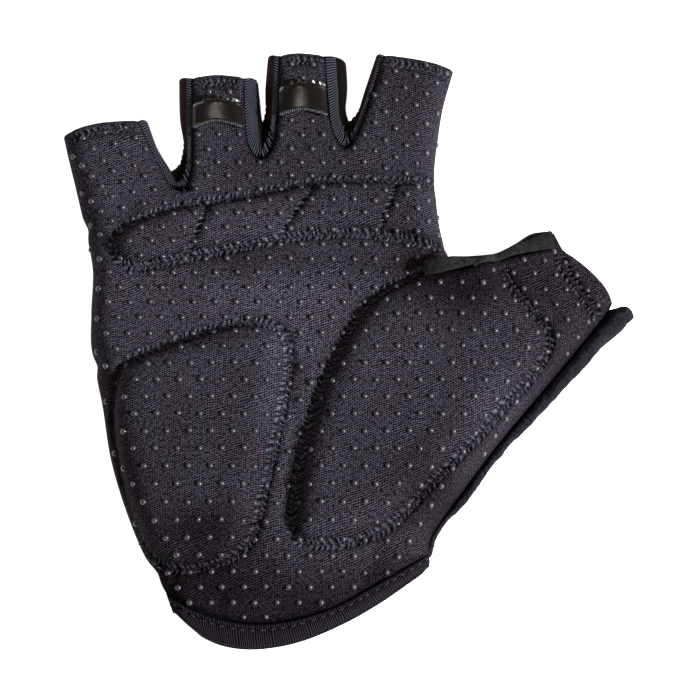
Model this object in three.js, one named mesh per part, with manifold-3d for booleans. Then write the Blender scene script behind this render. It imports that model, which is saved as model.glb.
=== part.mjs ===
// A short-finger sport glove for the right hand, lying on its back with the palm up.
// Millimetres. +X points to the thumb side, +Y to the finger ends, +Z up.
// The origin is under the middle of the glove, on the surface that it lies on.

import * as THREE from "three";
import { mergeVertices } from "three/addons/utils/BufferGeometryUtils.js";
import Module from "manifold-3d";

const wasm = await Module();
wasm.setup();

// Cloth
const palmThickness = 1.8;
const hemThickness = 2.4;
const backThickness = 1.2;
const fleeceThickness = 2.2;
const bindingThickness = 2.0;
const tabThickness = 1.0;
const gap = 0.35;

// Height of the seam that runs round the outside of the hand, and the width of the rolled edge there
const sideSeamHeight = 6;
const palmRoll = 6.5;
const backRoll = 7;
const onEdge = 0.05;

// Outer height of the palm side, from the wrist to the finger ends
const palmProfile = [
  { y: -60, height: 15 },
  { y: -36, height: 16.5 },
  { y: -12, height: 16 },
  { y: 14, height: 14.5 },
  { y: 36, height: 13 },
  { y: 50, height: 12 },
  { y: 78, height: 10.2 },
];
const thumbDrop = { startX: 28, endX: 66, belowY: 40, amount: 3.2 };
const wristRise = { height: 11, reach: 20 };

// The outline of the little finger's side, from the wrist to the hem
const outerEdgePoints = [
  [-43.5, -62.5],
  [-49, -53.5],
  [-54, -42],
  [-58, -29.5],
  [-60.5, -16],
  [-63.5, -3],
  [-64, 7.5],
  [-64, 19],
  [-66.5, 30.5],
  [-69, 40.5],
  [-71, 48],
  [-72.5, 54],
];
const outerEdgeAt = { wrist: 0, thumbLevel: 6, root: 9, hem: 11 };

// The outline of the index finger's side, from the thumb's crotch to the hem
const indexEdgePoints = [
  [26, 22],
  [24, 29.5],
  [22.9, 37.5],
  [22.5, 45.5],
  [23.5, 54],
  [24.8, 62.5],
  [27.5, 72],
];
const indexEdgeAt = { crotch: 0, root: 3, hem: 6 };

// Seams round the three gaps between fingers: down one finger, round the crotch and up the next
const fingerGaps = [
  {
    name: "little_ring",
    palm: [[-52.5, 58.2], [-50, 51], [-46, 43.5], [-42, 39], [-40.5, 46], [-39.7, 56], [-40, 69.3]],
    back: [[-51, 59.3], [-49, 53.5], [-46.7, 49.3], [-45, 47], [-42.7, 51], [-43.2, 61], [-43.5, 71.3]],
  },
  {
    name: "ring_middle",
    palm: [[-26.5, 69.3], [-26.2, 60], [-25, 51.5], [-21.5, 47.5], [-19, 51.5], [-18.4, 60], [-17.5, 75.6]],
    back: [[-23, 71], [-22.4, 66], [-21.9, 62], [-21.1, 59.5], [-20.6, 62.5], [-20.8, 69], [-20, 77.6]],
  },
  {
    name: "middle_index",
    palm: [[-6.5, 75.6], [-4.6, 63], [-3, 55], [0, 50.5], [1.5, 53], [4.5, 60.5], [9.5, 75.8]],
    back: [[0.2, 76.4], [0.5, 70], [0.1, 64], [1.4, 60.5], [3, 63.5], [5, 69], [8, 77.8]],
  },
];
const crotchAt = 3;

// The highest point of each finger's hem, which bows outwards
const hemMiddles = {
  palm: [[-63, 57.2], [-33, 70.3], [-12, 76.2], [18, 75]],
  back: [[-62, 58.2], [-33, 72], [-10, 77.8], [18, 76]],
};

// Thumb: the slit where its gusset starts, the gusset's two seams, the hem and the outer seam
const gussetTip = [19, 17.5];
const gussetSeamPoints = [gussetTip, [22, 15.5], [27, 16], [33, 17.8], [42, 21], [52.5, 23.7]];
const gussetFoot = [
  { at: [26.6, 22.4], height: 8 },
  { at: [31.5, 23], height: 5.5 },
  { at: [38.5, 24], height: 3 },
  { at: [43.5, 26.5], height: 2.8 },
  { at: [48, 29.3], height: 2.8 },
  { at: [54, 30.3], height: 2.8 },
];
const thumbHemPoints = [[66.5, 8.5], [64, 13.5], [60.5, 18.3], [56.5, 21.8], [52.5, 23.7]];
const thumbBackHemPoints = [[72.2, 6.8], [66, 11], [61.5, 17.5], [57.5, 23.5], [54.5, 30.5]];
const thumbSeamPoints = [
  [20.5, -53],
  [28, -39],
  [37, -27],
  [45, -17.5],
  [53, -8],
  [60.5, 1],
  [66.5, 8.5],
];
const thumbBackEdgePoints = [
  [26.5, 22.3],
  [31.5, 22.7],
  [38.5, 23.7],
  [43.5, 26.3],
  [48, 29.1],
  [54.5, 30.5],
];
const thumbBackCorner = [21.1, -52.3];
const fleeceEdge = [
  { along: 0, width: 0.5 },
  { along: 0.2, width: 1.7 },
  { along: 0.5, width: 3.1 },
  { along: 0.85, width: 4.0 },
  { along: 1, width: 5.8 },
];

// Strips of cloth that stand between the palm side and the back
const fourchette = { thickness: 1.0, steps: 26, from: 0.012, to: 0.988, belly: 0.5 };
const gusset = { thickness: 1.2, steps: 14, from: 0.07, to: 0.985, belly: -0.6 };
const stripRows = 3;

// The roll along the edge of the fleece
const fleeceRoll = { steps: 18, from: 0.06, to: 0.97, sides: 10, leastRadius: 0.5, extraHeight: 0.4 };

// Wrist: the seam of the binding and its free edge, from the little finger's side to the thumb's.
// The edge is lower than the seam by the drop, which is stated for a seam 10 mm high.
const wristStations = [
  { seam: [-43.5, -62.5], edge: [-41.5, -67], drop: 1.5 },
  { seam: [-38, -66], edge: [-35.5, -72], drop: 1.5 },
  { seam: [-30, -68.8], edge: [-29, -75], drop: 1 },
  { seam: [-21.5, -70], edge: [-21, -75.8], drop: 0.8 },
  { seam: [-12.5, -69], edge: [-11, -74.2], drop: 1 },
  { seam: [-2.5, -66], edge: [-0.5, -70], drop: 1.5 },
  { seam: [6, -61.5], edge: [8.5, -65], drop: 1.8 },
  { seam: [16, -56], edge: [18, -58.5], drop: 1.8 },
  { seam: [20.5, -53], edge: [21.2, -55.2], drop: 1.8 },
];
const dropStatedAt = 10;
const bindingSteps = { across: 22, wide: 2, crowding: 0.8 };

// Pads sewn under the palm cloth
const heelPadOutline = [
  [-54.5, -8.5], [-43, -2.5], [-31.5, 1.5], [-23, 3], [-16, 0.5], [-14.5, -7.5], [-17, -23],
  [-20, -38], [-24, -51], [-34, -56], [-44, -55.5], [-50, -48], [-54, -36], [-56.5, -21],
];
const thumbPadOutline = [
  [17, 13.5], [27, 12.5], [36, 14.5], [42.5, 9], [48.5, 0], [44.5, -11], [33.5, -23.5], [19.5, -37.5],
  [9, -47], [-1, -50.5], [-11.5, -49.5], [-11.5, -40], [-8, -21], [-2, -5.5], [5, 7],
];
const knuckleBand = {
  upper: [[-56, 27], [-49, 31], [-38.5, 34], [-28, 35.5], [-16.5, 38], [-5.5, 40], [5, 40.5], [19.5, 39]],
  lower: [[-57, 21.5], [-51, 19.5], [-37, 21.5], [-24, 24], [-12, 26.5], [1.5, 27.5], [12, 26.5], [20, 25.5]],
  cuts: [
    { upper: 0, lower: 0 },
    { upper: 0.31, lower: 0.25 },
    { upper: 0.655, lower: 0.54 },
    { upper: 0.91, lower: 0.85 },
    { upper: 1, lower: 1 },
  ],
};
const padShape = {
  heel: { rise: 4.2, edge: 9, inset: 1.6, below: 0.5 },
  thumb: { rise: 4.2, edge: 9, inset: 1.6, below: 0.5 },
  knuckle: { rise: 2.2, edge: 4.5, inset: 2, below: 0.9 },
};
const padEdgeThickness = 1.0;
const padRings = [0, 0.55, 0.82, 1];
const padOutlineSteps = 28;
const knuckleSteps = 6;

// Glossy tabs on the two middle fingers, and the satin strip along the foot of each
const tabs = [
  { name: "ring", top: [[-40.3, 61.8], [-26.3, 61.8]], foot: [[-40.2, 55.6], [-33, 57.6], [-26, 55.6]] },
  { name: "middle", top: [[-18.2, 67], [-5.6, 67]], foot: [[-18.2, 59], [-11.5, 60.8], [-4.6, 59]] },
];
const tabEdge = { radius: 0.9, tall: 0.8, steps: 8, sides: 8 };
const tabSteps = { columns: 5, rows: 3 };

// How far a piece lies off the faceted cloth that it follows
const overFacets = 1.5 * gap;
const rollClearance = 1.3 * gap;

// Columns and rows of each sheet's grid
const palmSteps = { fingers: [6, 5, 5, 6], fingerRows: 5, lowerRows: 16, upperRows: 8, thumb: 11 };
const backSteps = { fingers: [4, 4, 4, 4], fingerRows: 3, lowerRows: 12, upperRows: 5, thumb: 8 };
const slitShares = [0.45, 0.8, 1];

// Fineness of the worked-out curves, and how near two points are one
const curveDivisions = 400;
const edgeDivisions = 160;
const edgeCrowding = 0.75;
const weldDistance = 0.002;
const facetReach = 3.4;
const facetSamples = 8;

const finishes = {
  gripCloth: { color: 0x37343b, roughness: 0.95, metalness: 0 },
  knitBack: { color: 0x232227, roughness: 0.97, metalness: 0 },
  ribbedCloth: { color: 0x3d3f45, roughness: 0.9, metalness: 0 },
  suede: { color: 0x2e2c2f, roughness: 1, metalness: 0 },
  fleece: { color: 0x1e1c23, roughness: 1, metalness: 0 },
  binding: { color: 0x262229, roughness: 0.9, metalness: 0 },
  foam: { color: 0x5b5b60, roughness: 0.9, metalness: 0 },
  gloss: { color: 0x3d3a3a, roughness: 0.25, metalness: 0 },
  satin: { color: 0x4a4a50, roughness: 0.6, metalness: 0 },
};

// Plane curves

function lerp(a, b, t) {
  return a + (b - a) * t;
}

function between(p, q, t) {
  return p.map((value, axis) => lerp(value, q[axis], t));
}

function smoothStep(t) {
  const clamped = THREE.MathUtils.clamp(t, 0, 1);
  return clamped * clamped * (3 - 2 * clamped);
}

function fractions(count) {
  return Array.from({ length: count + 1 }, (_, i) => i / count);
}

// Fractions that crowd towards 0
function easedFractions(count) {
  return fractions(count).map((t) => lerp(t, t * t, edgeCrowding));
}

function splineThrough(points) {
  return new THREE.SplineCurve(points.map(([x, y]) => new THREE.Vector2(x, y)));
}

// Points by length along the smooth curve through the given points
function along(points, places) {
  const curve = splineThrough(points);
  curve.arcLengthDivisions = curveDivisions;
  return places.map((t) => curve.getPointAt(t).toArray());
}

// Points on the stretch of the curve that runs from one given point to another
function stretch(points, first, last, places) {
  const curve = splineThrough(points);
  const spans = points.length - 1;
  return places.map((t) => curve.getPoint(lerp(first, last, t) / spans).toArray());
}

function tableValue(rows, key, value, at) {
  const next = rows.findIndex((row) => row[key] >= at);
  if (next <= 0) return rows[next < 0 ? rows.length - 1 : 0][value];
  const low = rows[next - 1];
  const high = rows[next];
  return lerp(low[value], high[value], smoothStep((at - low[key]) / (high[key] - low[key])));
}

function distanceToSegment([px, py], [ax, ay], [bx, by]) {
  const dx = bx - ax;
  const dy = by - ay;
  const t = THREE.MathUtils.clamp(((px - ax) * dx + (py - ay) * dy) / (dx * dx + dy * dy), 0, 1);
  return Math.hypot(px - ax - t * dx, py - ay - t * dy);
}

function distanceToLine(point, line) {
  let nearest = Infinity;
  for (let i = 1; i < line.length; i += 1) {
    nearest = Math.min(nearest, distanceToSegment(point, line[i - 1], line[i]));
  }
  return nearest;
}

// How far a point is inside a closed outline, and 0 outside it
function depthInside([px, py], outline) {
  let inside = false;
  outline.forEach(([ax, ay], i) => {
    const [bx, by] = outline[(i + 1) % outline.length];
    const crosses = ay > py !== by > py;
    if (crosses && px < ax + ((py - ay) / (by - ay)) * (bx - ax)) inside = !inside;
  });
  return inside ? distanceToLine([px, py], [...outline, outline[0]]) : 0;
}

function offsetSideways(line, widths) {
  return line.map(([x, y], i) => {
    const before = line[Math.max(i - 1, 0)];
    const after = line[Math.min(i + 1, line.length - 1)];
    const dx = after[0] - before[0];
    const dy = after[1] - before[1];
    const length = Math.hypot(dx, dy);
    return [x + (dy / length) * widths[i], y - (dx / length) * widths[i]];
  });
}

// Edges where the cloth rolls over from the palm side to the back

const fine = fractions(edgeDivisions);
const wristSeamPoints = wristStations.map((station) => station.seam);
const thumbBase = thumbSeamPoints[0];
const outerEdge = along(outerEdgePoints, fine);
const indexEdge = along(indexEdgePoints, fine);
const thumbSeam = along(thumbSeamPoints, fine);
const wristSeam = along(wristSeamPoints, fine);
const fleeceWidths = fine.map((t) => tableValue(fleeceEdge, "along", "width", t));
const fleeceOutline = offsetSideways(thumbSeam, fleeceWidths);

// Pads and their outlines

function closedOutline(points, count) {
  const curve = new THREE.CatmullRomCurve3(points.map(([x, y]) => new THREE.Vector3(x, y, 0)), true);
  return curve.getSpacedPoints(count).slice(0, count).map((p) => [p.x, p.y]);
}

function knuckleCell(k) {
  const start = knuckleBand.cuts[k];
  const end = knuckleBand.cuts[k + 1];
  const places = fractions(knuckleSteps);
  const top = along(knuckleBand.upper, places.map((t) => lerp(start.upper, end.upper, t)));
  const foot = along(knuckleBand.lower, places.map((t) => lerp(end.lower, start.lower, t)));
  return [...top, ...foot];
}

const pads = [
  { name: "outer_heel_pad", outline: closedOutline(heelPadOutline, padOutlineSteps), ...padShape.heel },
  { name: "thumb_pad", outline: closedOutline(thumbPadOutline, padOutlineSteps), ...padShape.thumb },
  ...[0, 1, 2, 3].map((k) => ({
    name: `knuckle_pad_${k + 1}`,
    outline: knuckleCell(k),
    ...padShape.knuckle,
  })),
];

// Heights of the two outer surfaces

function rolledShare(distance, reach) {
  const open = 1 - THREE.MathUtils.clamp((distance - onEdge) / reach, 0, 1);
  return Math.sqrt(1 - open * open);
}

function palmRise(point) {
  return pads.reduce((rise, pad) => {
    return rise + pad.rise * smoothStep(depthInside(point, pad.outline) / pad.edge);
  }, 0);
}

function palmBase([x, y]) {
  const outwards = (x - thumbDrop.startX) / (thumbDrop.endX - thumbDrop.startX);
  const thumb = y < thumbDrop.belowY ? smoothStep(outwards) : 0;
  const opened = smoothStep(distanceToLine([x, y], wristSeam) / wristRise.reach);
  const inland = tableValue(palmProfile, "y", "height", y) - thumbDrop.amount * thumb;
  const full = lerp(wristRise.height, inland, opened);
  const lines = [outerEdge, indexEdge, thumbSeam];
  const nearest = Math.min(...lines.map((line) => distanceToLine([x, y], line)));
  return lerp(sideSeamHeight + gap / 2, full, rolledShare(nearest, palmRoll));
}

function palmHeight(point) {
  return palmBase(point) + palmRise(point);
}

// Height of the underside of the palm cloth, allowing for its slope and its flat facets
function palmUnderside([x, y]) {
  const angles = fractions(facetSamples).slice(1).map((t) => 2 * Math.PI * t);
  const around = angles.map((angle) => {
    return palmHeight([x + facetReach * Math.cos(angle), y + facetReach * Math.sin(angle)]);
  });
  const mean = around.reduce((sum, height) => sum + height, 0) / around.length;
  const slope = (Math.max(...around) - Math.min(...around)) / (2 * facetReach);
  return Math.min(palmHeight([x, y]), mean) - palmThickness * Math.hypot(1, slope);
}

function backHeight(point) {
  const lines = [outerEdge, indexEdge, fleeceOutline];
  const nearest = Math.min(...lines.map((line) => distanceToLine(point, line)));
  return (sideSeamHeight - gap / 2) * (1 - rolledShare(nearest, backRoll));
}

function isOnRolledEdge(point, lines) {
  return lines.some((line) => distanceToLine(point, line) < onEdge);
}

// Sheets of cloth: grids of points joined at their shared edges

class Sheet {
  constructor() {
    this.points = [];
    this.faces = [];
    this.indexOf = new Map();
  }

  add(point) {
    const key = point.map((value) => Math.round(value / weldDistance)).join();
    if (!this.indexOf.has(key)) {
      this.indexOf.set(key, this.points.length);
      this.points.push(point);
    }
    return this.indexOf.get(key);
  }

  // Rows run from the wrist to the fingers and columns from left to right, so faces point up
  addGrid(rows) {
    const ids = rows.map((row) => row.map((point) => this.add(point)));
    for (let i = 1; i < ids.length; i += 1) {
      for (let j = 1; j < ids[i].length; j += 1) {
        const corners = [ids[i - 1][j - 1], ids[i - 1][j], ids[i][j], ids[i][j - 1]];
        const face = corners.filter((id, k) => id !== corners[(k + 1) % corners.length]);
        if (face.length > 2) this.faces.push(face);
      }
    }
  }

  normals() {
    const sums = this.points.map(() => new THREE.Vector3());
    this.faces.forEach((face) => {
      const [a, b, c, d] = face.map((id) => new THREE.Vector3(...this.points[id]));
      const across = new THREE.Vector3().subVectors(c, a);
      const other = new THREE.Vector3().subVectors(d ?? c, b);
      const area = across.cross(other);
      face.forEach((id) => sums[id].add(area));
    });
    return sums.map((sum) => sum.normalize());
  }

  // The closed solid between a lower and an upper copy of the sheet
  solid(lower, upper) {
    const normals = this.normals();
    const count = this.points.length;
    const positions = [upper, lower].flatMap((place) => {
      return this.points.map((point, id) => place(point, normals[id]));
    });
    const used = new Set();
    const triangles = [];
    const addFace = (ids) => {
      for (let k = 2; k < ids.length; k += 1) triangles.push(ids[0], ids[k - 1], ids[k]);
    };
    this.faces.forEach((face) => {
      addFace(face);
      addFace(face.map((id) => id + count).reverse());
      face.forEach((id, k) => used.add(`${id},${face[(k + 1) % face.length]}`));
    });
    used.forEach((edge) => {
      const [a, b] = edge.split(",").map(Number);
      if (!used.has(`${b},${a}`)) addFace([b, a, a + count, b + count]);
    });
    const geometry = new THREE.BufferGeometry();
    geometry.setAttribute("position", new THREE.Float32BufferAttribute(positions.flat(), 3));
    geometry.setIndex(triangles);
    return geometry;
  }
}

// A four-sided patch filled in from its edges, each a list of points
function patch(bottom, top, left, right) {
  const shares = (line) => {
    const lengths = line.map((p, i) => {
      const before = line[Math.max(i - 1, 0)];
      return Math.hypot(p[0] - before[0], p[1] - before[1]);
    });
    const total = lengths.reduce((sum, length) => sum + length, 0);
    let sum = 0;
    return lengths.map((length) => {
      sum += length;
      return sum / total;
    });
  };
  const [bottomShares, topShares, leftShares, rightShares] = [bottom, top, left, right].map(shares);
  return left.map((_, i) =>
    bottom.map((_, j) => {
      const v = lerp(leftShares[i], rightShares[i], j / (bottom.length - 1));
      const u = lerp(bottomShares[j], topShares[j], i / (left.length - 1));
      return [0, 1].map((axis) => {
        const upright = lerp(bottom[j][axis], top[j][axis], v);
        const level = lerp(left[i][axis], right[i][axis], u);
        const low = lerp(bottom[0][axis], bottom.at(-1)[axis], u);
        const high = lerp(top[0][axis], top.at(-1)[axis], u);
        return upright + level - lerp(low, high, v);
      });
    }),
  );
}

function offsetBy(distance) {
  return (point, normal) => new THREE.Vector3(...point).addScaledVector(normal, distance).toArray();
}

// Cloth that meets the side seam ends in a level rim there
function offsetLevel(lines, distanceAt) {
  return (point, normal) => {
    const direction = normal.clone();
    if (isOnRolledEdge(point, lines)) direction.setZ(0).normalize();
    return offsetBy(distanceAt(point))(point, direction);
  };
}

function lifted(rows, height) {
  return rows.map((row) => row.map((point) => [...point, height(point)]));
}

// Outline grids that the palm and the back share

function fingerSides(layer, steps) {
  const rows = fractions(steps.fingerRows);
  const halves = fingerGaps.map((fingerGap) => ({
    down: stretch(fingerGap[layer], crotchAt, 0, rows),
    up: stretch(fingerGap[layer], crotchAt, 2 * crotchAt, rows),
  }));
  const outer = stretch(outerEdgePoints, outerEdgeAt.root, outerEdgeAt.hem, rows);
  const index = stretch(indexEdgePoints, indexEdgeAt.root, indexEdgeAt.hem, rows);
  return {
    left: [outer, ...halves.map((half) => half.up)],
    right: [...halves.map((half) => half.down), index],
  };
}

function fingerGrids(layer, steps) {
  const { left, right } = fingerSides(layer, steps);
  return steps.fingers.map((count, k) => {
    let places = fractions(count);
    if (k === 0) places = easedFractions(count);
    if (k === fingerGaps.length) places = easedFractions(count).map((t) => 1 - t).reverse();
    const root = along([left[k][0], right[k][0]], places);
    const hem = along([left[k].at(-1), hemMiddles[layer][k], right[k].at(-1)], places);
    return patch(root, hem, left[k], right[k]);
  });
}

function rootLine(fingers) {
  return fingers.flatMap((grid, k) => (k ? grid[0].slice(1) : grid[0]));
}

// How far across each point of a line lies, by its x
function sharesAcross(line) {
  return line.map((p) => (p[0] - line[0][0]) / (line.at(-1)[0] - line[0][0]));
}

// Palm cloth

function buildPalm() {
  const fingers = fingerGrids("palm", palmSteps);
  const roots = rootLine(fingers);
  const slitStart = roots.length - 1 - slitShares.length;
  const crotch = indexEdgePoints[indexEdgeAt.crotch];
  const thumbLevel = outerEdgePoints[outerEdgeAt.thumbLevel];
  const places = sharesAcross(roots.slice(0, slitStart + 1));
  const middleLine = [...along([thumbLevel, gussetTip], places), ...along([gussetTip, crotch], slitShares)];
  const lowerRows = fractions(palmSteps.lowerRows);
  const upperRows = fractions(palmSteps.upperRows);
  const thumbColumns = fractions(palmSteps.thumb);
  const thumbCut = along([thumbBase, gussetTip], lowerRows);
  const sheet = new Sheet();
  const grids = [
    patch(
      along(wristSeamPoints, places),
      middleLine.slice(0, slitStart + 1),
      stretch(outerEdgePoints, outerEdgeAt.wrist, outerEdgeAt.thumbLevel, lowerRows),
      thumbCut,
    ),
    patch(
      middleLine,
      roots,
      stretch(outerEdgePoints, outerEdgeAt.thumbLevel, outerEdgeAt.root, upperRows),
      stretch(indexEdgePoints, indexEdgeAt.crotch, indexEdgeAt.root, upperRows),
    ),
    patch(
      along(thumbSeamPoints, thumbColumns),
      along(gussetSeamPoints, thumbColumns),
      thumbCut,
      along(thumbHemPoints, easedFractions(palmSteps.lowerRows)),
    ),
    ...fingers,
  ];
  grids.forEach((grid) => sheet.addGrid(lifted(grid, palmHeight)));
  const hems = [...fingers.map((grid) => grid.at(-1)), along(thumbHemPoints, fine)];
  const thicknessAt = ([x, y]) => {
    const nearest = Math.min(...hems.map((hem) => distanceToLine([x, y], hem)));
    return nearest < onEdge ? -hemThickness : -palmThickness;
  };
  const rolled = [outerEdge, indexEdge, thumbSeam];
  return sheet.solid(offsetLevel(rolled, thicknessAt), offsetBy(0));
}

// Back cloth, with the backs of the four fingers

function buildBack() {
  const fingers = fingerGrids("back", backSteps);
  const roots = rootLine(fingers);
  const places = sharesAcross(roots);
  const crotch = indexEdgePoints[indexEdgeAt.crotch];
  const middleLine = along([outerEdgePoints[outerEdgeAt.thumbLevel], crotch], places);
  const lowerRows = fractions(backSteps.lowerRows);
  const upperRows = fractions(backSteps.upperRows);
  const sheet = new Sheet();
  const grids = [
    patch(
      along(wristSeamPoints, places),
      middleLine,
      stretch(outerEdgePoints, outerEdgeAt.wrist, outerEdgeAt.thumbLevel, lowerRows),
      along([thumbBase, crotch], lowerRows),
    ),
    patch(
      middleLine,
      roots,
      stretch(outerEdgePoints, outerEdgeAt.thumbLevel, outerEdgeAt.root, upperRows),
      stretch(indexEdgePoints, indexEdgeAt.crotch, indexEdgeAt.root, upperRows),
    ),
    ...fingers,
  ];
  grids.forEach((grid) => sheet.addGrid(lifted(grid, backHeight)));
  return sheet.solid(offsetBy(0), offsetLevel([outerEdge, indexEdge], () => backThickness));
}

// Solids joined with manifold-3d

function toManifold(geometry) {
  const bare = new THREE.BufferGeometry();
  bare.setAttribute("position", geometry.getAttribute("position"));
  bare.setIndex(geometry.getIndex());
  const merged = mergeVertices(bare, 1e-3);
  const vertProperties = new Float32Array(merged.getAttribute("position").array);
  const triVerts = new Uint32Array(merged.getIndex().array);
  return new wasm.Manifold(new wasm.Mesh({ numProp: 3, vertProperties, triVerts }));
}

function fromManifold(solid) {
  const mesh = solid.getMesh();
  const geometry = new THREE.BufferGeometry();
  geometry.setAttribute("position", new THREE.Float32BufferAttribute(mesh.vertProperties, 3));
  geometry.setIndex(Array.from(mesh.triVerts));
  return geometry;
}

// A closed roll of oval section that follows a line of points, each with its own radii
function ovalRoll(stations, sides) {
  const sheet = new Sheet();
  const ring = (station) => {
    return fractions(sides).map((t) => {
      const angle = t * 2 * Math.PI;
      const out = Math.cos(angle) * station.radius;
      const [dx, dy] = station.sideways;
      return [
        station.at[0] + dx * out,
        station.at[1] + dy * out,
        station.at[2] + Math.sin(angle) * station.tall,
      ];
    });
  };
  const ends = [stations[0], stations.at(-1)].map((station) => fractions(sides).map(() => station.at));
  const rows = [ends[0], ...stations.map(ring), ends[1]];
  sheet.addGrid(rows);
  const triangles = sheet.faces.flatMap((face) => {
    return face.length === 3 ? face : [face[0], face[1], face[2], face[0], face[2], face[3]];
  });
  const geometry = new THREE.BufferGeometry();
  geometry.setAttribute("position", new THREE.Float32BufferAttribute(sheet.points.flat(), 3));
  geometry.setIndex(triangles);
  return facingOut(geometry);
}

function facingOut(geometry) {
  if (toManifold(geometry).volume() > 0) return geometry;
  geometry.setIndex(Array.from(geometry.getIndex().array).reverse());
  return geometry;
}

// Stations of a roll that lies beside a route on the plan, off it by its radius and a clearance
function rollBeside(route, radii, clearance, heightAt, tallAt) {
  const centres = offsetSideways(route, radii.map((radius) => radius + clearance));
  return centres.map(([x, y], i) => {
    const [dx, dy] = [x - route[i][0], y - route[i][1]];
    const length = Math.hypot(dx, dy);
    const sideways = [dx / length, dy / length];
    return { at: [x, y, heightAt([x, y])], sideways, radius: radii[i], tall: tallAt(radii[i]) };
  });
}

// Fleece back of the thumb, whose outer edge is rolled up beside the palm cloth

function buildThumbBack() {
  const columns = fractions(backSteps.thumb);
  const rows = easedFractions(backSteps.lowerRows);
  const seam = along(thumbSeamPoints, columns);
  const widths = columns.map((t) => tableValue(fleeceEdge, "along", "width", t));
  const outline = offsetSideways(seam, widths);
  outline[0] = thumbBackCorner;
  outline[outline.length - 1] = thumbBackHemPoints[0];
  const sheet = new Sheet();
  const grid = patch(
    outline,
    along(thumbBackEdgePoints, columns),
    along([outline[0], thumbBackEdgePoints[0]], rows),
    along(thumbBackHemPoints, rows),
  );
  sheet.addGrid(lifted(grid, backHeight));
  const panel = sheet.solid(offsetBy(0), offsetLevel([fleeceOutline], () => fleeceThickness));
  const places = fractions(fleeceRoll.steps).map((t) => lerp(fleeceRoll.from, fleeceRoll.to, t));
  const radii = places.map((t) => {
    return Math.max(fleeceRoll.leastRadius, (tableValue(fleeceEdge, "along", "width", t) - gap) / 2);
  });
  const stations = rollBeside(
    along(thumbSeamPoints, places),
    radii,
    rollClearance,
    () => sideSeamHeight,
    (radius) => radius + fleeceRoll.extraHeight,
  );
  const edge = ovalRoll(stations, fleeceRoll.sides);
  return fromManifold(toManifold(panel).add(toManifold(edge)));
}

// Side strips between two fingers, and the thumb's gusset

function strip(top, foot, { belly, thickness }) {
  const sheet = new Sheet();
  const grid = fractions(stripRows).map((t) => {
    return top.map((high, i) => {
      const before = top[Math.max(i - 1, 0)];
      const after = top[Math.min(i + 1, top.length - 1)];
      const [dx, dy] = [after[0] - before[0], after[1] - before[1]];
      const length = Math.hypot(dx, dy);
      const push = belly * Math.sin(Math.PI * t);
      const [x, y, z] = between(foot[i], high, t);
      return [x - (dy / length) * push, y + (dx / length) * push, z];
    });
  });
  sheet.addGrid(grid);
  const rims = new Set([...grid[0], ...grid.at(-1)]);
  return sheet.solid(offsetBy(0), (point, normal) => {
    const direction = rims.has(point) ? normal.clone().setZ(0).normalize() : normal;
    return offsetBy(thickness)(point, direction);
  });
}

// A seam's height under the palm cloth, clear of its turned hems too
function underPalm(point) {
  return palmUnderside(point) - (hemThickness - palmThickness) - gap;
}

function buildFourchette(fingerGap) {
  const places = fractions(fourchette.steps).map((t) => lerp(fourchette.from, fourchette.to, t));
  const last = 2 * crotchAt;
  const top = stretch(fingerGap.palm, 0, last, places).map((point) => [...point, underPalm(point)]);
  const foot = stretch(fingerGap.back, 0, last, places).map((point) => [...point, backThickness + gap]);
  return strip(top, foot, fourchette);
}

function buildGusset() {
  const places = fractions(gusset.steps).map((t) => lerp(gusset.from, gusset.to, t));
  const top = along(gussetSeamPoints, places).map((point) => [...point, underPalm(point)]);
  const footLine = along(gussetFoot.map((row) => row.at), places);
  const rows = gussetFoot.map((row) => ({ x: row.at[0], height: row.height }));
  const foot = footLine.map(([x, y]) => [x, y, tableValue(rows, "x", "height", x)]);
  return strip(top, foot, gusset);
}

// Ribbed binding folded over the wrist edge: a closed band round the opening

function buildBinding() {
  const across = fractions(bindingSteps.across);
  const round = [
    ...across.map((t) => ({ t, side: "palm" })),
    ...across.slice(1, -1).reverse().map((t) => ({ t, side: "back" })),
  ];
  const seamCurve = splineThrough(wristSeamPoints);
  const edgeCurve = splineThrough(wristStations.map((station) => station.edge));
  const last = wristStations.length - 1;
  const drops = wristStations.map((station, i) => ({ t: i / last, drop: station.drop }));
  const loop = round.map(({ t, side }) => {
    const eased = lerp(t, 0.5 - 0.5 * Math.cos(Math.PI * t), bindingSteps.crowding);
    const seam = seamCurve.getPoint(eased).toArray();
    const edge = edgeCurve.getPoint(eased).toArray();
    const corner = t === 0 || t === 1;
    const height = side === "palm" ? palmHeight(seam) : backHeight(seam);
    const seamHeight = corner ? sideSeamHeight : height;
    const drop = (tableValue(drops, "t", "drop", eased) * seamHeight) / dropStatedAt;
    const tangent = seamCurve.getTangent(eased);
    const outward = new THREE.Vector3(tangent.y, -tangent.x, 0);
    const start = new THREE.Vector3(...seam, seamHeight).addScaledVector(outward, overFacets);
    return { seam: start.toArray(), edge: [...edge, seamHeight - drop], outward };
  });
  loop.push(loop[0]);
  const sheet = new Sheet();
  const rows = fractions(bindingSteps.wide).map((t) => loop.map(({ seam, edge }) => between(edge, seam, t)));
  sheet.addGrid(rows);
  const outwardAt = new Map(rows.at(-1).map((point, i) => [point, loop[i].outward]));
  return sheet.solid((point, normal) => {
    const outward = outwardAt.get(point);
    const direction = outward ? normal.clone().projectOnPlane(outward).normalize() : normal;
    return offsetBy(-bindingThickness)(point, direction);
  }, offsetBy(0));
}

// Foam pads that follow the underside of the palm cloth

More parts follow.
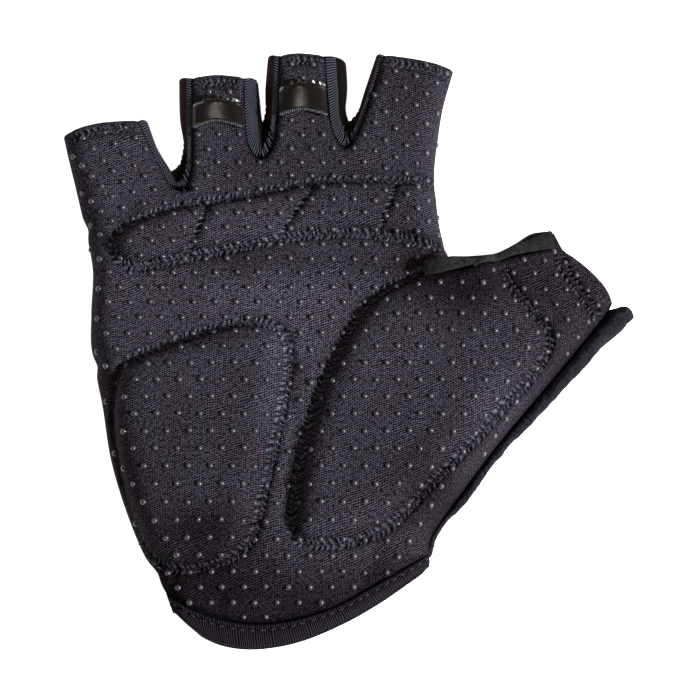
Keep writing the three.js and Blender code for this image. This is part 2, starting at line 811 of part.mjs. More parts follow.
function buildPad(pad) {
  const centre = [0, 1].map((axis) => {
    return pad.outline.reduce((sum, p) => sum + p[axis], 0) / pad.outline.length;
  });
  const radii = pad.outline.map((p) => Math.hypot(p[0] - centre[0], p[1] - centre[1]));
  const shrink = 1 - pad.inset / Math.min(...radii);
  const rim = pad.outline.map((p) => between(centre, p, shrink));
  const closed = [...rim, rim[0]];
  const sheet = new Sheet();
  sheet.addGrid(padRings.map((share) => closed.map((p) => between(centre, p, share))));
  const topAt = (point) => palmUnderside(point) - pad.below;
  return sheet.solid(
    (point) => [...point.slice(0, 2), topAt(point) - palmRise(point) - padEdgeThickness],
    (point) => [...point.slice(0, 2), topAt(point)],
  );
}

// Tabs

function buildTab(tab) {
  const columns = fractions(tabSteps.columns);
  const rows = fractions(tabSteps.rows);
  const top = along(tab.top, columns);
  const foot = along(tab.foot, columns);
  const sheet = new Sheet();
  const grid = patch(foot, top, along([foot[0], top[0]], rows), along([foot.at(-1), top.at(-1)], rows));
  sheet.addGrid(lifted(grid, (point) => palmHeight(point) + overFacets));
  return sheet.solid(offsetBy(0), offsetBy(tabThickness));
}

function buildTabEdge(tab) {
  const route = along(tab.foot, fractions(tabEdge.steps));
  const stations = rollBeside(
    route,
    route.map(() => tabEdge.radius),
    gap,
    (point) => palmHeight(point) + tabEdge.radius + rollClearance,
    () => tabEdge.tall,
  );
  return ovalRoll(stations, tabEdge.sides);
}

// Assembly

const glove = new THREE.Group();

function place(name, geometry, finish) {
  const mesh = new THREE.Mesh(geometry, new THREE.MeshStandardMaterial(finish));
  mesh.name = name;
  glove.add(mesh);
}

place("palm_panel", buildPalm(), finishes.gripCloth);
place("back_panel", buildBack(), finishes.knitBack);
place("thumb_back_panel", buildThumbBack(), finishes.fleece);
place("thumb_gusset", buildGusset(), finishes.suede);
place("wrist_binding", buildBinding(), finishes.binding);
fingerGaps.forEach((fingerGap) => {
  place(`fourchette_${fingerGap.name}`, buildFourchette(fingerGap), finishes.ribbedCloth);
});
pads.forEach((pad) => place(pad.name, buildPad(pad), finishes.foam));
tabs.forEach((tab) => {
  place(`pull_tab_${tab.name}`, buildTab(tab), finishes.gloss);
  place(`tab_edge_${tab.name}`, buildTabEdge(tab), finishes.satin);
});

export default glove;
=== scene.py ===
"""Looks of a short-finger sport glove for the right hand, lying on its back with the palm up.

Tables are in millimetres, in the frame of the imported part: +X to the thumb, +Y to the finger ends,
+Z up out of the palm. Meshes are made in metres.
"""

import math
from functools import cache

import bmesh
import bpy
import numpy as np
from bpy.props import FloatProperty, FloatVectorProperty, PointerProperty
from mathutils import Matrix, Vector, noise
from mathutils.bvhtree import BVHTree


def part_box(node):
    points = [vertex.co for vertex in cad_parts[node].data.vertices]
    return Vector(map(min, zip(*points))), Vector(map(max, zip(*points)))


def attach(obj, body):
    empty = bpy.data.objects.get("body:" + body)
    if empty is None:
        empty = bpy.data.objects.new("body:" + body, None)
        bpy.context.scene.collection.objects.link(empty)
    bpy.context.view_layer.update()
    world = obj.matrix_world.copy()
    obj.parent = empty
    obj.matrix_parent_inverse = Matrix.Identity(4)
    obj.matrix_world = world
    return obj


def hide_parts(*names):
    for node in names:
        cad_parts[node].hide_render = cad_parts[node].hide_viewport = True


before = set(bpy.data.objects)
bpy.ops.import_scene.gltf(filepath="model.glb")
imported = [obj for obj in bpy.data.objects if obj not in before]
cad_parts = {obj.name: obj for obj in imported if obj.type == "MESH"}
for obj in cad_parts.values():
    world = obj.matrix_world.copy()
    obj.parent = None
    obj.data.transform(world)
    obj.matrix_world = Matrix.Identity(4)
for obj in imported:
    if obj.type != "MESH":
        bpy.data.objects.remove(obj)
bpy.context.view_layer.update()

bl_info = {
    "name": "Short-finger glove",
    "version": (1, 0, 0),
    "blender": (4, 5, 0),
    "location": "View3D > Sidebar > Glove",
    "description": "Builds the cloth, pads, grip dots, seams and stage of a short-finger glove",
    "category": "Add Mesh",
}

MM = 0.001
BODY = "root"

# Thicknesses, how far a pad keeps from its seam, and the gap at a seam
PALM_THICKNESS = 1.6
BACK_THICKNESS = 1.0
FLEECE_THICKNESS = 1.6
GUSSET_THICKNESS = 0.9
TAB_THICKNESS = 0.6
PAD_THICKNESS = 0.8
PAD_INSET = 1.6
BINDING_RADIUS = 0.9
SEAM_GAP = 0.2
ON_EDGE = 0.02

# Height of the seam that runs round the outside of the hand, and the width of the rolled edge there
SIDE_SEAM_HEIGHT = 6.0
PALM_ROLL = 6.5
BACK_ROLL = 7.0


def table(columns, *rows):
    """The rows of a table, each a dictionary by the names of its columns."""
    return [dict(zip(columns.split(), row)) for row in rows]


# Outer height of the palm side, from the wrist to the finger ends
PALM_PROFILE = table(
    "y height", (-60, 15), (-36, 16.5), (-12, 16), (14, 14.5), (36, 13), (50, 12), (78, 10.2)
)
THUMB_DROP = {"start_x": 28, "end_x": 66, "below_y": 40, "amount": 3.2}
WRIST_RISE = {"height": 11, "reach": 20}

# The outline of the little finger's side, from the wrist to the hem
OUTER_EDGE = [
    (-43.5, -62.5), (-49, -53.5), (-54, -42), (-58, -29.5), (-60.5, -16), (-63.5, -3),
    (-64, 7.5), (-64, 19), (-66.5, 30.5), (-69, 40.5), (-71, 48), (-72.5, 54),
]
OUTER_EDGE_AT = {"wrist": 0, "thumb_level": 6, "root": 9, "hem": 11}
THUMB_LEVEL = OUTER_EDGE[OUTER_EDGE_AT["thumb_level"]]

# The outline of the index finger's side, from the thumb's crotch to the hem
INDEX_EDGE = [(26, 22), (24, 29.5), (23.1, 37.5), (22.9, 45.5), (23.9, 54), (25.3, 62.5), (28, 72.2)]
INDEX_EDGE_AT = {"crotch": 0, "root": 3, "hem": 6}
THUMB_CROTCH = INDEX_EDGE[INDEX_EDGE_AT["crotch"]]

# Seams round the three gaps between fingers: down one finger, round the crotch and up the next.
# smooth_left and smooth_right say how far up each side plain cloth reaches under the ribbed strip.
FINGER_GAPS = table(
    "name smooth_left smooth_right slant palm back",
    (
        "little_ring", 0, 0.85, 0,
        [(-52.8, 57.4), (-48.8, 48.4), (-44.6, 40.4), (-41.8, 38.2), (-39.4, 41.5), (-39.1, 53), (-39.6, 69.3)],
        [(-51.4, 59), (-49.4, 53.3), (-47, 49), (-44.9, 46.7), (-41.3, 51.8), (-43, 61), (-43.5, 71.3)],
    ),
    (
        "ring_middle", 0, 0.85, 3.2,
        [(-26, 69.3), (-25.8, 61), (-24.8, 51), (-21.6, 46.9), (-18.4, 50.8), (-17.4, 60), (-17.1, 75.6)],
        [(-23, 71), (-22.4, 66), (-21.9, 61.6), (-21.2, 58.8), (-20.6, 62), (-20.9, 69), (-20.3, 77.6)],
    ),
    (
        "middle_index", 0.69, 0.89, 0,
        [(-5.4, 75.6), (-4.6, 64.5), (-3.3, 54.8), (-0.1, 49.8), (2.8, 53.8), (5.6, 61.9), (10, 75.8)],
        [(0.2, 76.4), (0.5, 70), (0.1, 63.6), (1.4, 60), (3.8, 63.2), (5.5, 69), (8.2, 77.8)],
    ),
)
CROTCH_AT = 3

# The highest point of each finger's hem, which bows outwards
HEM_MIDDLES = {
    "palm": [(-63, 56.7), (-33, 70.2), (-12, 76.3), (18, 74.6)],
    "back": [(-62, 58.2), (-33, 72), (-10, 77.8), (18, 76)],
}

# Thumb: the slit where its gusset starts, the gusset's seams, the hem and the outer seam
GUSSET_TIP = (19, 17.5)
GUSSET_SEAM = [GUSSET_TIP, (22, 15.5), (27, 16), (33, 17.8), (42, 21), (52.5, 23.7)]
GUSSET_FOOT = table(
    "at height",
    ((26.6, 22), 8), ((31.5, 22.6), 5.5), ((38.5, 24), 3),
    ((43.5, 26.5), 2.8), ((48, 29.3), 2.8), ((53.1, 30.0), 2.8),
)
THUMB_HEM = [(66.5, 8.5), (66.8, 10.4), (64.8, 14), (60.8, 18.4), (56.5, 21.8), (52.5, 23.7)]
THUMB_BACK_HEM = [(72.2, 6.8), (66, 11), (61.5, 17.5), (57.0, 23.5), (53.6, 30.2)]
THUMB_SEAM = [(20.5, -53), (21.6, -48), (28, -39), (37, -27), (45, -17.5), (53, -8), (60.5, 1), (66.5, 8.5)]
THUMB_BACK_EDGE = [(26.5, 22.3), (31.5, 22.7), (38.5, 23.7), (43.5, 26.3), (48, 29.1), (53.6, 30.2)]
THUMB_BACK_CORNER = (19.6, -52.3)
FLEECE_EDGE = table(
    "along width",
    (0, 0.5), (0.12, 0.9), (0.22, 1.9), (0.34, 1.9), (0.44, 2.2), (0.56, 3.0), (0.85, 4.0), (1, 5.8),
)
ROLL_START = (19.9, -53.9)
ROLL_TIP = (67.6, 10.0)

# The two folded bands of the gusset: lower and upper edges, and the heights of both
GUSSET_BANDS = table(
    "name round lift fall low high",
    (
        "gusset_band_inner", 1.0, (0.2, -0.6), (0.5, 1.4),
        [(19.6, 15.2), (22.2, 15.2), (25.7, 15.9), (32.5, 17.8)],
        [(20.2, 19.2), (22.8, 19.6), (26.5, 19.6), (32.5, 19.4)],
    ),
    (
        "gusset_band_outer", 0.0, (-0.2, -0.4), (0.3, 2.4),
        [(31.5, 17.2), (37.5, 19.3), (41.7, 21.0), (46.0, 22.2), (52.6, 23.5)],
        [(32.0, 17.8), (37.6, 21.6), (42.0, 24.0), (46.8, 26.0), (51.8, 28.8)],
    ),
)

# Wrist: the seam of the binding and its free edge, from the little finger's side to the thumb's
WRIST_STATIONS = table(
    "seam edge drop",
    ((-43.5, -62.5), (-41.7, -67.2), 1.5),
    ((-38, -66), (-35.7, -72.2), 1.5),
    ((-30, -68.8), (-29, -75), 1),
    ((-21.5, -70), (-21, -75.6), 0.8),
    ((-12.5, -69), (-11, -73.8), 1),
    ((-2.5, -66), (-0.7, -69.6), 1.5),
    ((6, -61.5), (8.3, -64.6), 1.8),
    ((16, -56), (17.8, -58.1), 1.8),
    ((20.5, -53), (20.7, -56.0), 1.8),
)
WRIST_SEAM = [row["seam"] for row in WRIST_STATIONS]

# Pads sewn under the palm cloth. The seam follows the first points of each outline, as many as stitched says.
PADS = {
    "heel": {
        "outline": [
            (-54.5, -8.5), (-43, -2.5), (-31.5, 1.5), (-23, 3), (-16, 0.5), (-14.5, -7.5), (-17, -23),
            (-20, -38), (-24, -51), (-34, -56), (-44, -55.5), (-50, -48), (-54, -36), (-56.5, -21),
        ],
        "stitched": 12,
        "rise": 4.0,
        "edge": 7.0,
    },
    "thumb": {
        "outline": [
            (38.2, 18.2), (40.3, 13.6), (42.9, 9.9), (46.8, 5.4), (49.9, 1.0), (49.2, -3.6), (44.7, -10.6),
            (38.9, -16.4), (33.6, -23.0), (27.4, -29.4), (19.5, -37.3), (10, -46.5), (-1, -50.5),
            (-11.5, -49.5), (-11.5, -40), (-8, -21), (-2, -5.5), (5, 7), (11.2, 12.2), (18.6, 16.2),
            (22, 22), (32, 24.5),
        ],
        "stitched": 20,
        "rise": 4.0,
        "edge": 7.0,
    },
    "knuckle": {
        "outline": [
            (25.0, 24.8), (12, 26.5), (1.5, 27.5), (-12, 26.5), (-24, 24), (-37, 21.5), (-46, 19.4),
            (-52.5, 18.6), (-56.3, 20.5), (-57.6, 23.6), (-55.6, 27.6), (-51, 30.3), (-44.5, 32.5),
            (-38.5, 34.2), (-28, 35.7), (-16.5, 38.2), (-5.5, 40.2), (5, 40.7), (14, 40.2), (25.0, 38.6),
        ],
        "stitched": 20,
        "rise": 2.7,
        "edge": 4.6,
    },
}
KNUCKLE_CELLS = [((-34.2, 35.0), (-39.0, 21.2)), ((-7.2, 40.0), (-16.6, 25.6)), ((13.2, 40.3), (8.2, 26.8))]

# Rows of stitches beside a seam's line, plus to its left, and the line sewn along the thumb's hem
PAD_ROWS = (-0.1, 1.35)
HEM_ROWS = (-1.5, -2.8)
THUMB_HEM_ROWS = (-0.95, 0.95)
ONE_ROW = (0, 0)
THUMB_HEM_SEAM = [(53.0, 23.6), (55.1, 17.6), (58.6, 12.4), (61.8, 7.8), (64.2, 4.8)]

# Pull tabs: the top and foot of each, and the row of stitches along its top
TABS = table(
    "name top foot stitched",
    (
        "ring",
        [(-39.0, 62.7), (-33, 63.4), (-26.2, 62.4)],
        [(-39.0, 55.2), (-33, 57.2), (-26.0, 55.4)],
        [(-39.0, 62.3), (-33, 63.0), (-26.4, 62.0)],
    ),
    (
        "middle",
        [(-16.9, 67.2), (-11, 68.0), (-5.1, 67.4)],
        [(-17.1, 58.7), (-11, 60.4), (-4.4, 58.7)],
        [(-17.0, 66.7), (-11, 67.5), (-5.1, 66.9)],
    ),
)

# Soft creases and dents of the palm cloth: from, to, half width and depth
CREASES = table(
    "from to width depth",
    ((-50, -48), (-54.3, -36), 0.9, 1.4),
    ((-54.3, -36), (-57, -21), 0.9, 1.6),
    ((-57, -21), (-55.2, -8), 0.9, 1.6),
    ((-65.5, 32.5), (-54, 32.0), 2.0, 0.9),
    ((-62, 27.0), (-59, 21.5), 1.6, 0.7),
    ((-46, -61), (-44, -54), 1.4, 0.9),
    ((-41.5, -61.5), (-41, -57), 1.2, 0.6),
    ((-30.5, -66), (-30, -63.5), 1.4, 0.8),
    ((4.5, -59), (7.5, -53.5), 2.2, 0.8),
    ((-20, -56), (-25, -54), 2.4, 1.0),
    ((-13.5, 18), (12, 20.5), 5.0, 0.9),
    ((-56, 13), (-30, 16), 4.5, 0.5),
    ((-12.5, -8), (-14.5, -44), 3.0, 0.9),
    ((-5, 44.5), (16, 44.0), 3.0, 0.6),
    ((-57, 36), (-48, 38), 3.0, 0.7),
    ((49, 14), (52, 6), 2.5, 0.6),
)

# Small steps in the outline where folds run out over the edge
NOTCHES = table(
    "at depth reach", ((-66.3, 29.5), 0.8, 2.2), ((-62.6, -6.0), 0.9, 2.4), ((-47.0, -57.5), 0.9, 2.6)
)

# Lighter and darker patches of the palm cloth: some wear, and mostly painted light on the middle of the palm
# and painted shade below the knuckle band, in the thumb's crotch and round the heel and thumb pads
WEAR_AND_SHADE_PATCHES = table(
    "at reach amount",
    ((-14, 11), (46, 19), 0.8),
    ((-52, 48), (20, 16), 0.4),
    ((-10, -24), (6, 22), 0.75),
    ((-5, -59), (14, 6), 0.2),
    ((-25, 31), (28, 6), 0.18),
    ((-20, 19.5), (26, 5), -0.75),
    ((-27, -1), (10, 5), -0.3),
    ((1, 30), (14, 8), -0.2),
    ((28, 13), (20, 11), -1.05),
    ((22, -39), (13, 12), -0.5),
    ((-33, -49), (13, 7), -0.65),
    ((-52, -40), (7, 14), -0.4),
)
LEAST_WEAR_AND_SHADE = 0.3

# How the rows of grip dots run: pitch of the rows by height, and where they tilt with the fingers
DOT_ROW_PITCH = table(
    "y pitch", (-72, 3.5), (-58, 3.7), (-46, 4.3), (-4, 4.2), (12, 3.8), (40, 3.6), (60, 4.0), (80, 4.0)
)
DOT_TILTS = table("beyond side slope", (-50, -1, 0.27), (5, 1, 0.29))
DOT_TILT_FADE = {"from_y": 18, "to_y": 46}

# How far a dot strays from its place, how deep it is sunk, and the room it keeps to rims and tabs
DOT_STRAY = 0.25
DOT_SUNK = 0.12
DOT_FROM_RIM = 0.9
DOT_FROM_TAB = 1.2

# Stitches of the palm and of the wrist tape
STITCH_PITCH = 1.5
STITCH_LENGTH = 1.25
BINDING_STITCH_PITCH = 2.4
BINDING_STITCH_LENGTH = 1.5
BINDING_STITCH_SHARE = 0.29

# Pleats of the side strips round each crotch
PLEAT_REACH = 3.0
PLEAT_PITCH = 1.7
PLEAT_DEPTH = 0.8

# Grid steps of the palm and back cloth
STEPS = {
    "palm": {"fingers": (28, 24, 24, 28), "finger_rows": 32, "lower_rows": 92, "upper_rows": 44, "thumb": 92},
    "back": {"fingers": (18, 18, 18, 18), "finger_rows": 20, "lower_rows": 60, "upper_rows": 26, "thumb": 50},
}
SLIT_SHARES = 12

# Grid steps of the smaller pieces, along them and across or round them
STRIP_STEPS = (520, 22)
ROLL_STEPS = (220, 28)
PIPING_STEPS = (180, 16)
GUSSET_STEPS = (90, 10)
BAND_STEPS = (60, 16)
TAB_STEPS = (40, 22)
PAD_STEPS = (100, 20)
BINDING_STEPS = {"around": 800, "face": 24, "fold": 8, "inner_face": 7}

# Camera: where it aims, how far off it is and how it leans towards the wrist
CAMERA_AIM = (1.2, -2.0, 8.0)
CAMERA_DISTANCE = 450.0
CAMERA_TILT = math.radians(12.5)
PHOTO_SIZE = 700
FOCAL_PIXELS = 1800.0
SENSOR_WIDTH = 36.0

# Soft square lamps: the way to each, how far off and how wide it is in metres, and its watts
LAMPS = table(
    "name direction distance size power colour",
    ("Key", (0.85, -0.22, 0.62), 1.0, 0.16, 23.4, (0.95, 0.985, 1)),
    ("Fill", (-0.15, 0.38, 0.90), 1.2, 0.42, 3.0, (1, 0.9, 0.84)),
)
STUDIO_LIGHT = {"Color": (1, 0.84, 0.78), "Strength": 0.11}


# Plane curves


def lerp(a, b, t):
    return a + (b - a) * t


def smooth(t):
    t = np.clip(t, 0, 1)
    return t * t * (3 - 2 * t)


def bell(value, width, middle=0.0):
    """1 at the middle, fading on both sides of it."""
    return np.exp(-(((value - middle) / width) ** 2))


def fractions(count):
    return np.linspace(0, 1, count + 1)


def eased(count):
    """Fractions that crowd towards 0."""
    t = fractions(count)
    return lerp(t, t * t, 0.75)


def stretch(points, first, last, places):
    """Points of the smooth curve through the given ones, from one of them to another."""
    points = np.asarray(points, float)
    spans = len(points) - 1
    at = np.clip(lerp(first, last, np.asarray(places, float)), 0, spans)
    i = np.minimum(at.astype(int), spans - 1)
    t = (at - i)[:, None]
    before, start, end, after = (points[np.clip(i + k, 0, spans)] for k in (-1, 0, 1, 2))
    v0 = (end - before) / 2
    v1 = (after - start) / 2
    cubic = 2 * start - 2 * end + v0 + v1
    square = -3 * start + 3 * end - 2 * v0 - v1
    return cubic * t**3 + square * t**2 + v0 * t + start


def run_lengths(line):
    return np.concatenate([[0], np.cumsum(np.linalg.norm(np.diff(line, axis=0), axis=1))])


def at_lengths(line, lengths):
    """Points of a line at the given lengths along it."""
    run = run_lengths(line)
    return np.stack([np.interp(lengths, run, column) for column in np.asarray(line, float).T], 1)


def along(points, places):
    """Points by length along the smooth curve through the given points."""
    line = stretch(points, 0, len(points) - 1, fractions(400))
    return at_lengths(line, np.asarray(places) * run_lengths(line)[-1])


def outline_stretch(points, spans):
    """The smooth closed curve through the given points, from the first one on over some spans."""
    round_again = list(points[-3:]) + list(points) + list(points[:3])
    return stretch(round_again, 3, 3 + spans, fractions(24 * spans))


def closed_outline(points, count):
    """Evenly spaced points of the smooth closed curve through the given points."""
    line = outline_stretch(points, len(points))
    return at_lengths(line, fractions(count)[:-1] * run_lengths(line)[-1])


def sideways_of(line):
    """Unit vectors to the right of each point of a line on the plan."""
    ahead = np.gradient(np.asarray(line, float)[:, :2], axis=0)
    ahead /= np.linalg.norm(ahead, axis=1)[:, None]
    return np.stack([ahead[:, 1], -ahead[:, 0]], 1)


def beside(line, width):
    """A line moved to its right by a width, which may be one for each point."""
    return line + sideways_of(line) * np.reshape(width, (-1, 1))


def table_value(rows, key, value, at):
    keys = np.array([row[key] for row in rows], float)
    values = np.array([row[value] for row in rows], float)
    at = np.clip(at, keys[0], keys[-1])
    i = np.clip(np.searchsorted(keys, at) - 1, 0, len(keys) - 2)
    return lerp(values[i], values[i + 1], smooth((at - keys[i]) / (keys[i + 1] - keys[i])))


def measure(points, line):
    """For each point the distance to a line, the run along it, the side (1 is left) and the nearest point."""
    best = np.full(len(points), np.inf)
    place = np.zeros(len(points))
    side = np.ones(len(points))
    nearest = np.zeros((len(points), 2))
    run = 0.0
    for a, b in zip(line[:-1], line[1:]):
        d = b - a
        length = math.hypot(*d)
        if length < 1e-9:
            continue
        rel = points - a
        t = np.clip(rel @ d / length**2, 0, 1)
        foot = a + t[:, None] * d
        distance = np.linalg.norm(points - foot, axis=1)
        near = distance < best
        best = np.where(near, distance, best)
        place = np.where(near, run + t * length, place)
        side = np.where(near, np.where(d[0] * rel[:, 1] - d[1] * rel[:, 0] >= 0, 1, -1), side)
        nearest = np.where(near[:, None], foot, nearest)
        run += length
    return best, place, side, nearest


def is_inside(points, outline):
    inside = np.zeros(len(points), bool)
    x, y = points.T
    for (ax, ay), (bx, by) in zip(outline, np.roll(outline, -1, axis=0)):
        if ay == by:
            continue
        crosses = (ay > y) != (by > y)
        inside ^= crosses & (x < ax + (y - ay) / (by - ay) * (bx - ax))
    return inside


def closed(outline):
    return np.vstack([outline, outline[:1]])


def waves(points, size, seed):
    """Smooth noise from -1 to 1 over the plan, with features of the given size."""
    spot = Vector((seed * 17.3, seed * 5.1, seed * 9.7))
    return np.array([noise.noise(Vector((x / size, y / size, 0)) + spot) for x, y in points])


# Heights of the outer surfaces, in millimetres

EDGE_STEPS = 160
outer_edge = along(OUTER_EDGE, fractions(EDGE_STEPS))
index_edge = along(INDEX_EDGE, fractions(EDGE_STEPS))
thumb_seam = along(THUMB_SEAM, fractions(EDGE_STEPS))
wrist_seam = along(WRIST_SEAM, fractions(EDGE_STEPS))
fleece_widths = table_value(FLEECE_EDGE, "along", "width", fractions(EDGE_STEPS))
fleece_outline = beside(thumb_seam, fleece_widths)
palm_gaps = [stretch(gap["palm"], 0, 2 * CROTCH_AT, fractions(EDGE_STEPS)) for gap in FINGER_GAPS]
gusset_seam = along(GUSSET_SEAM, fractions(EDGE_STEPS))
thumb_hem = along(THUMB_HEM, fractions(EDGE_STEPS))
pad_outlines = {name: closed_outline(pad["outline"], 140) for name, pad in PADS.items()}


def rolled_share(distance, reach):
    openness = 1 - np.clip((distance - ON_EDGE) / reach, 0, 1)
    return np.sqrt(1 - openness**2)


def palm_base(points):
    """Height of the palm side without pads and seams, how far it has dropped, and the way out of the hand."""
    x, y = points.T
    outwards = smooth((x - THUMB_DROP["start_x"]) / (THUMB_DROP["end_x"] - THUMB_DROP["start_x"]))
    thumb = np.where(y < THUMB_DROP["below_y"], outwards, 0)
    opened = smooth(measure(points, wrist_seam)[0] / WRIST_RISE["reach"])
    inland = table_value(PALM_PROFILE, "y", "height", y) - THUMB_DROP["amount"] * thumb
    full = lerp(WRIST_RISE["height"], inland, opened)
    measured = [measure(points, line) for line in (outer_edge, index_edge, thumb_seam)]
    distances = np.array([m[0] for m in measured])
    chosen = distances.argmin(0)
    nearest = np.array([m[3] for m in measured])[chosen, np.arange(len(points))]
    distance = distances.min(0)
    height = lerp(SIDE_SEAM_HEIGHT + SEAM_GAP / 2, full, rolled_share(distance, PALM_ROLL))
    way = (nearest - points) / np.maximum(distance, 1e-6)[:, None]
    return height, full - height, way, distance


def pad_rise(points):
    rise = np.zeros(len(points))
    for name, pad in PADS.items():
        outline = pad_outlines[name]
        depth = measure(points, closed(outline))[0] * is_inside(points, outline)
        left = 1 - np.clip(depth / pad["edge"], 0, 1)
        rise += pad["rise"] * lerp(1 - left**2, np.sqrt(1 - left**2), 0.45)
    return rise


def palm_rim_drop(points):
    """How far the palm cloth turns down at its sewn and hemmed rims."""
    drop = np.zeros(len(points))
    for line in [*palm_gaps, gusset_seam]:
        drop += 0.9 * bell(measure(points, line)[0], 0.9)
    for line in palm_hems():
        drop += 0.5 * bell(measure(points, line)[0], 0.5)
    drop += 1.0 * bell(measure(points, wrist_seam)[0], 0.9)
    return drop


def palm_height(points):
    return palm_base(points)[0] + pad_rise(points)


def stitch_turns(run, row, off):
    """Stitches passed along a row: unevenly long, staggered between the rows and slanting like a braid."""
    uneven = 0.28 * np.sin(run * 1.3 + 2 * np.sin(run * 0.41) + 2 * row)
    return run / STITCH_PITCH + 0.5 * row + 0.35 * off * (1 - 2 * row) + uneven


def palm_relief(points):
    """Seam grooves, puckers, creases and soft waves of the palm cloth, added to its height."""
    relief = np.zeros(len(points))
    for seam in seams():
        distance, place, side, _ = measure(points, seam["line"])
        near = distance < 6
        signed = (distance * side)[near]
        run = place[near]
        ease = 1.0 if seam["name"] == "cell" else 3.0
        fade = smooth(run / ease) * smooth((seam["length"] - run) / ease)
        middle = (seam["rows"][0] + seam["rows"][1]) / 2
        uneven = 0.75 + 0.25 * np.sin(run * 0.9 + 2 * np.sin(run * 0.23))
        amount = -0.5 * bell(signed, 1.5, middle)
        for k, row in enumerate(dict.fromkeys(seam["rows"])):
            turn = 2 * math.pi * stitch_turns(run, k, signed - row)
            amount -= (0.36 + 0.4 * np.cos(turn) * uneven) * bell(signed, 0.5, row)
            outside = np.abs(signed - middle) - 0.9
            amount -= 0.07 * uneven * np.cos(turn) * bell(outside, 1.0)
        relief[near] += amount * fade * seam["pull"]
    for crease in CREASES:
        distance = measure(points, np.array([crease["from"], crease["to"]], float))[0]
        relief -= crease["depth"] * bell(distance, crease["width"])
    relief += 0.4 * waves(points, 14, 1) + 0.2 * waves(points, 5, 2) + 0.07 * waves(points, 2, 3)
    return relief


def notched(points):
    """Plan points drawn in where folds run out over the outline."""
    moved = np.array(points, float)
    for notch in NOTCHES:
        off = np.linalg.norm(points - np.array(notch["at"]), axis=1)
        moved[:, 0] += notch["depth"] * bell(off, notch["reach"])
    return moved


def wear_and_shade(points):
    """How light the cloth is, from some wear and from painted light and shade: lightest in the middle of the
    palm, with painted shade at the wrist, the thumb and the outer heel.
    """
    x, y = points.T
    wrist, thumb = smooth((-50 - y) / 12), smooth((x - 36) / 16)
    outer_heel = smooth((-55 - x) / 3) * smooth(-y / 12)
    lit_and_worn = 1 - (0.66 * wrist + 0.3 * thumb + 0.35 * outer_heel) + 0.12 * waves(points, 12, 9)
    for spot in WEAR_AND_SHADE_PATCHES:
        (at_x, at_y), (wide, tall) = spot["at"], spot["reach"]
        lit_and_worn += spot["amount"] * bell(x, wide, at_x) * bell(y, tall, at_y)
    return np.maximum(lit_and_worn, LEAST_WEAR_AND_SHADE)


def palm_surface(points):
    height, _, _, distance = palm_base(points)
    calm = smooth(distance / 2.5)
    return height + pad_rise(points) + palm_relief(points) * calm - palm_rim_drop(points) * calm


def back_height(points):
    lines = (outer_edge, index_edge, fleece_outline)
    nearest = np.min([measure(points, line)[0] for line in lines], axis=0)
    return (SIDE_SEAM_HEIGHT - SEAM_GAP / 2) * (1 - rolled_share(nearest, BACK_ROLL))


# Seams


def palm_hems():
    return [grid[-1] for grid in finger_grids("palm")] + [thumb_hem]


@cache
def seams():
    """Every stitched seam of the palm: its line, its rows beside it, how hard it pulls and its length."""
    pads = [outline_stretch(pad["outline"], pad["stitched"] - 1) for pad in PADS.values()]
    made = table(
        "name line rows pull",
        *[("pad", line, PAD_ROWS, 1.0) for line in pads],
        *[("cell", stretch(ends, 0, 1, fractions(30)), ONE_ROW, 1.25) for ends in KNUCKLE_CELLS],
        *[("hem", line, HEM_ROWS, 1.0) for line in palm_hems()[:-1]],
        ("hem", along(THUMB_HEM_SEAM, fractions(60)), THUMB_HEM_ROWS, 1.1),
        *[("tab", along(tab["stitched"], fractions(30)), ONE_ROW, 0.5) for tab in TABS],
    )
    for seam in made:
        seam["length"] = run_lengths(seam["line"])[-1]
    return made


# Outline grids that the palm and the back share


def patch(bottom, top, left, right):
    """A grid of plan points that fills four edges."""
    edges = [np.asarray(edge, float) for edge in (bottom, top, left, right)]
    bottom, top, left, right = edges
    shares = [run_lengths(edge) / max(run_lengths(edge)[-1], 1e-9) for edge in edges]
    columns, rows = len(bottom), len(left)
    j = fractions(columns - 1)[None, :]
    i = fractions(rows - 1)[:, None]
    v = lerp(shares[2][:, None], shares[3][:, None], j)[..., None]
    u = lerp(shares[0][None, :], shares[1][None, :], i)[..., None]
    upright = lerp(bottom[None], top[None], v)
    level = lerp(left[:, None], right[:, None], u)
    low = lerp(bottom[0], bottom[-1], u)
    high = lerp(top[0], top[-1], u)
    return upright + level - lerp(low, high, v)


@cache
def finger_grids(layer):
    """For each finger of the palm or the back, a grid of plan points from its root to its hem."""
    rows = fractions(STEPS[layer]["finger_rows"])
    downs = [stretch(gap[layer], CROTCH_AT, 0, rows) for gap in FINGER_GAPS]
    ups = [stretch(gap[layer], CROTCH_AT, 2 * CROTCH_AT, rows) for gap in FINGER_GAPS]
    lefts = [outer_stretch("root", "hem", rows), *ups]
    rights = [*downs, index_stretch("root", "hem", rows)]
    grids = []
    for k, (left, right, count) in enumerate(zip(lefts, rights, STEPS[layer]["fingers"])):
        places = fractions(count)
        if k == 0:
            places = eased(count)
        if k == len(FINGER_GAPS):
            places = (1 - eased(count))[::-1]
        root = along([left[0], right[0]], places)
        hem = along([left[-1], HEM_MIDDLES[layer][k], right[-1]], places)
        grids.append(patch(root, hem, left, right))
    return grids


def root_line(fingers):
    return np.vstack([fingers[0][0], *[grid[0][1:] for grid in fingers[1:]]])


def shares_across(line):
    return (line[:, 0] - line[0, 0]) / (line[-1, 0] - line[0, 0])


def outer_stretch(first, last, places):
    return stretch(OUTER_EDGE, OUTER_EDGE_AT[first], OUTER_EDGE_AT[last], places)


def index_stretch(first, last, places):
    return stretch(INDEX_EDGE, INDEX_EDGE_AT[first], INDEX_EDGE_AT[last], places)


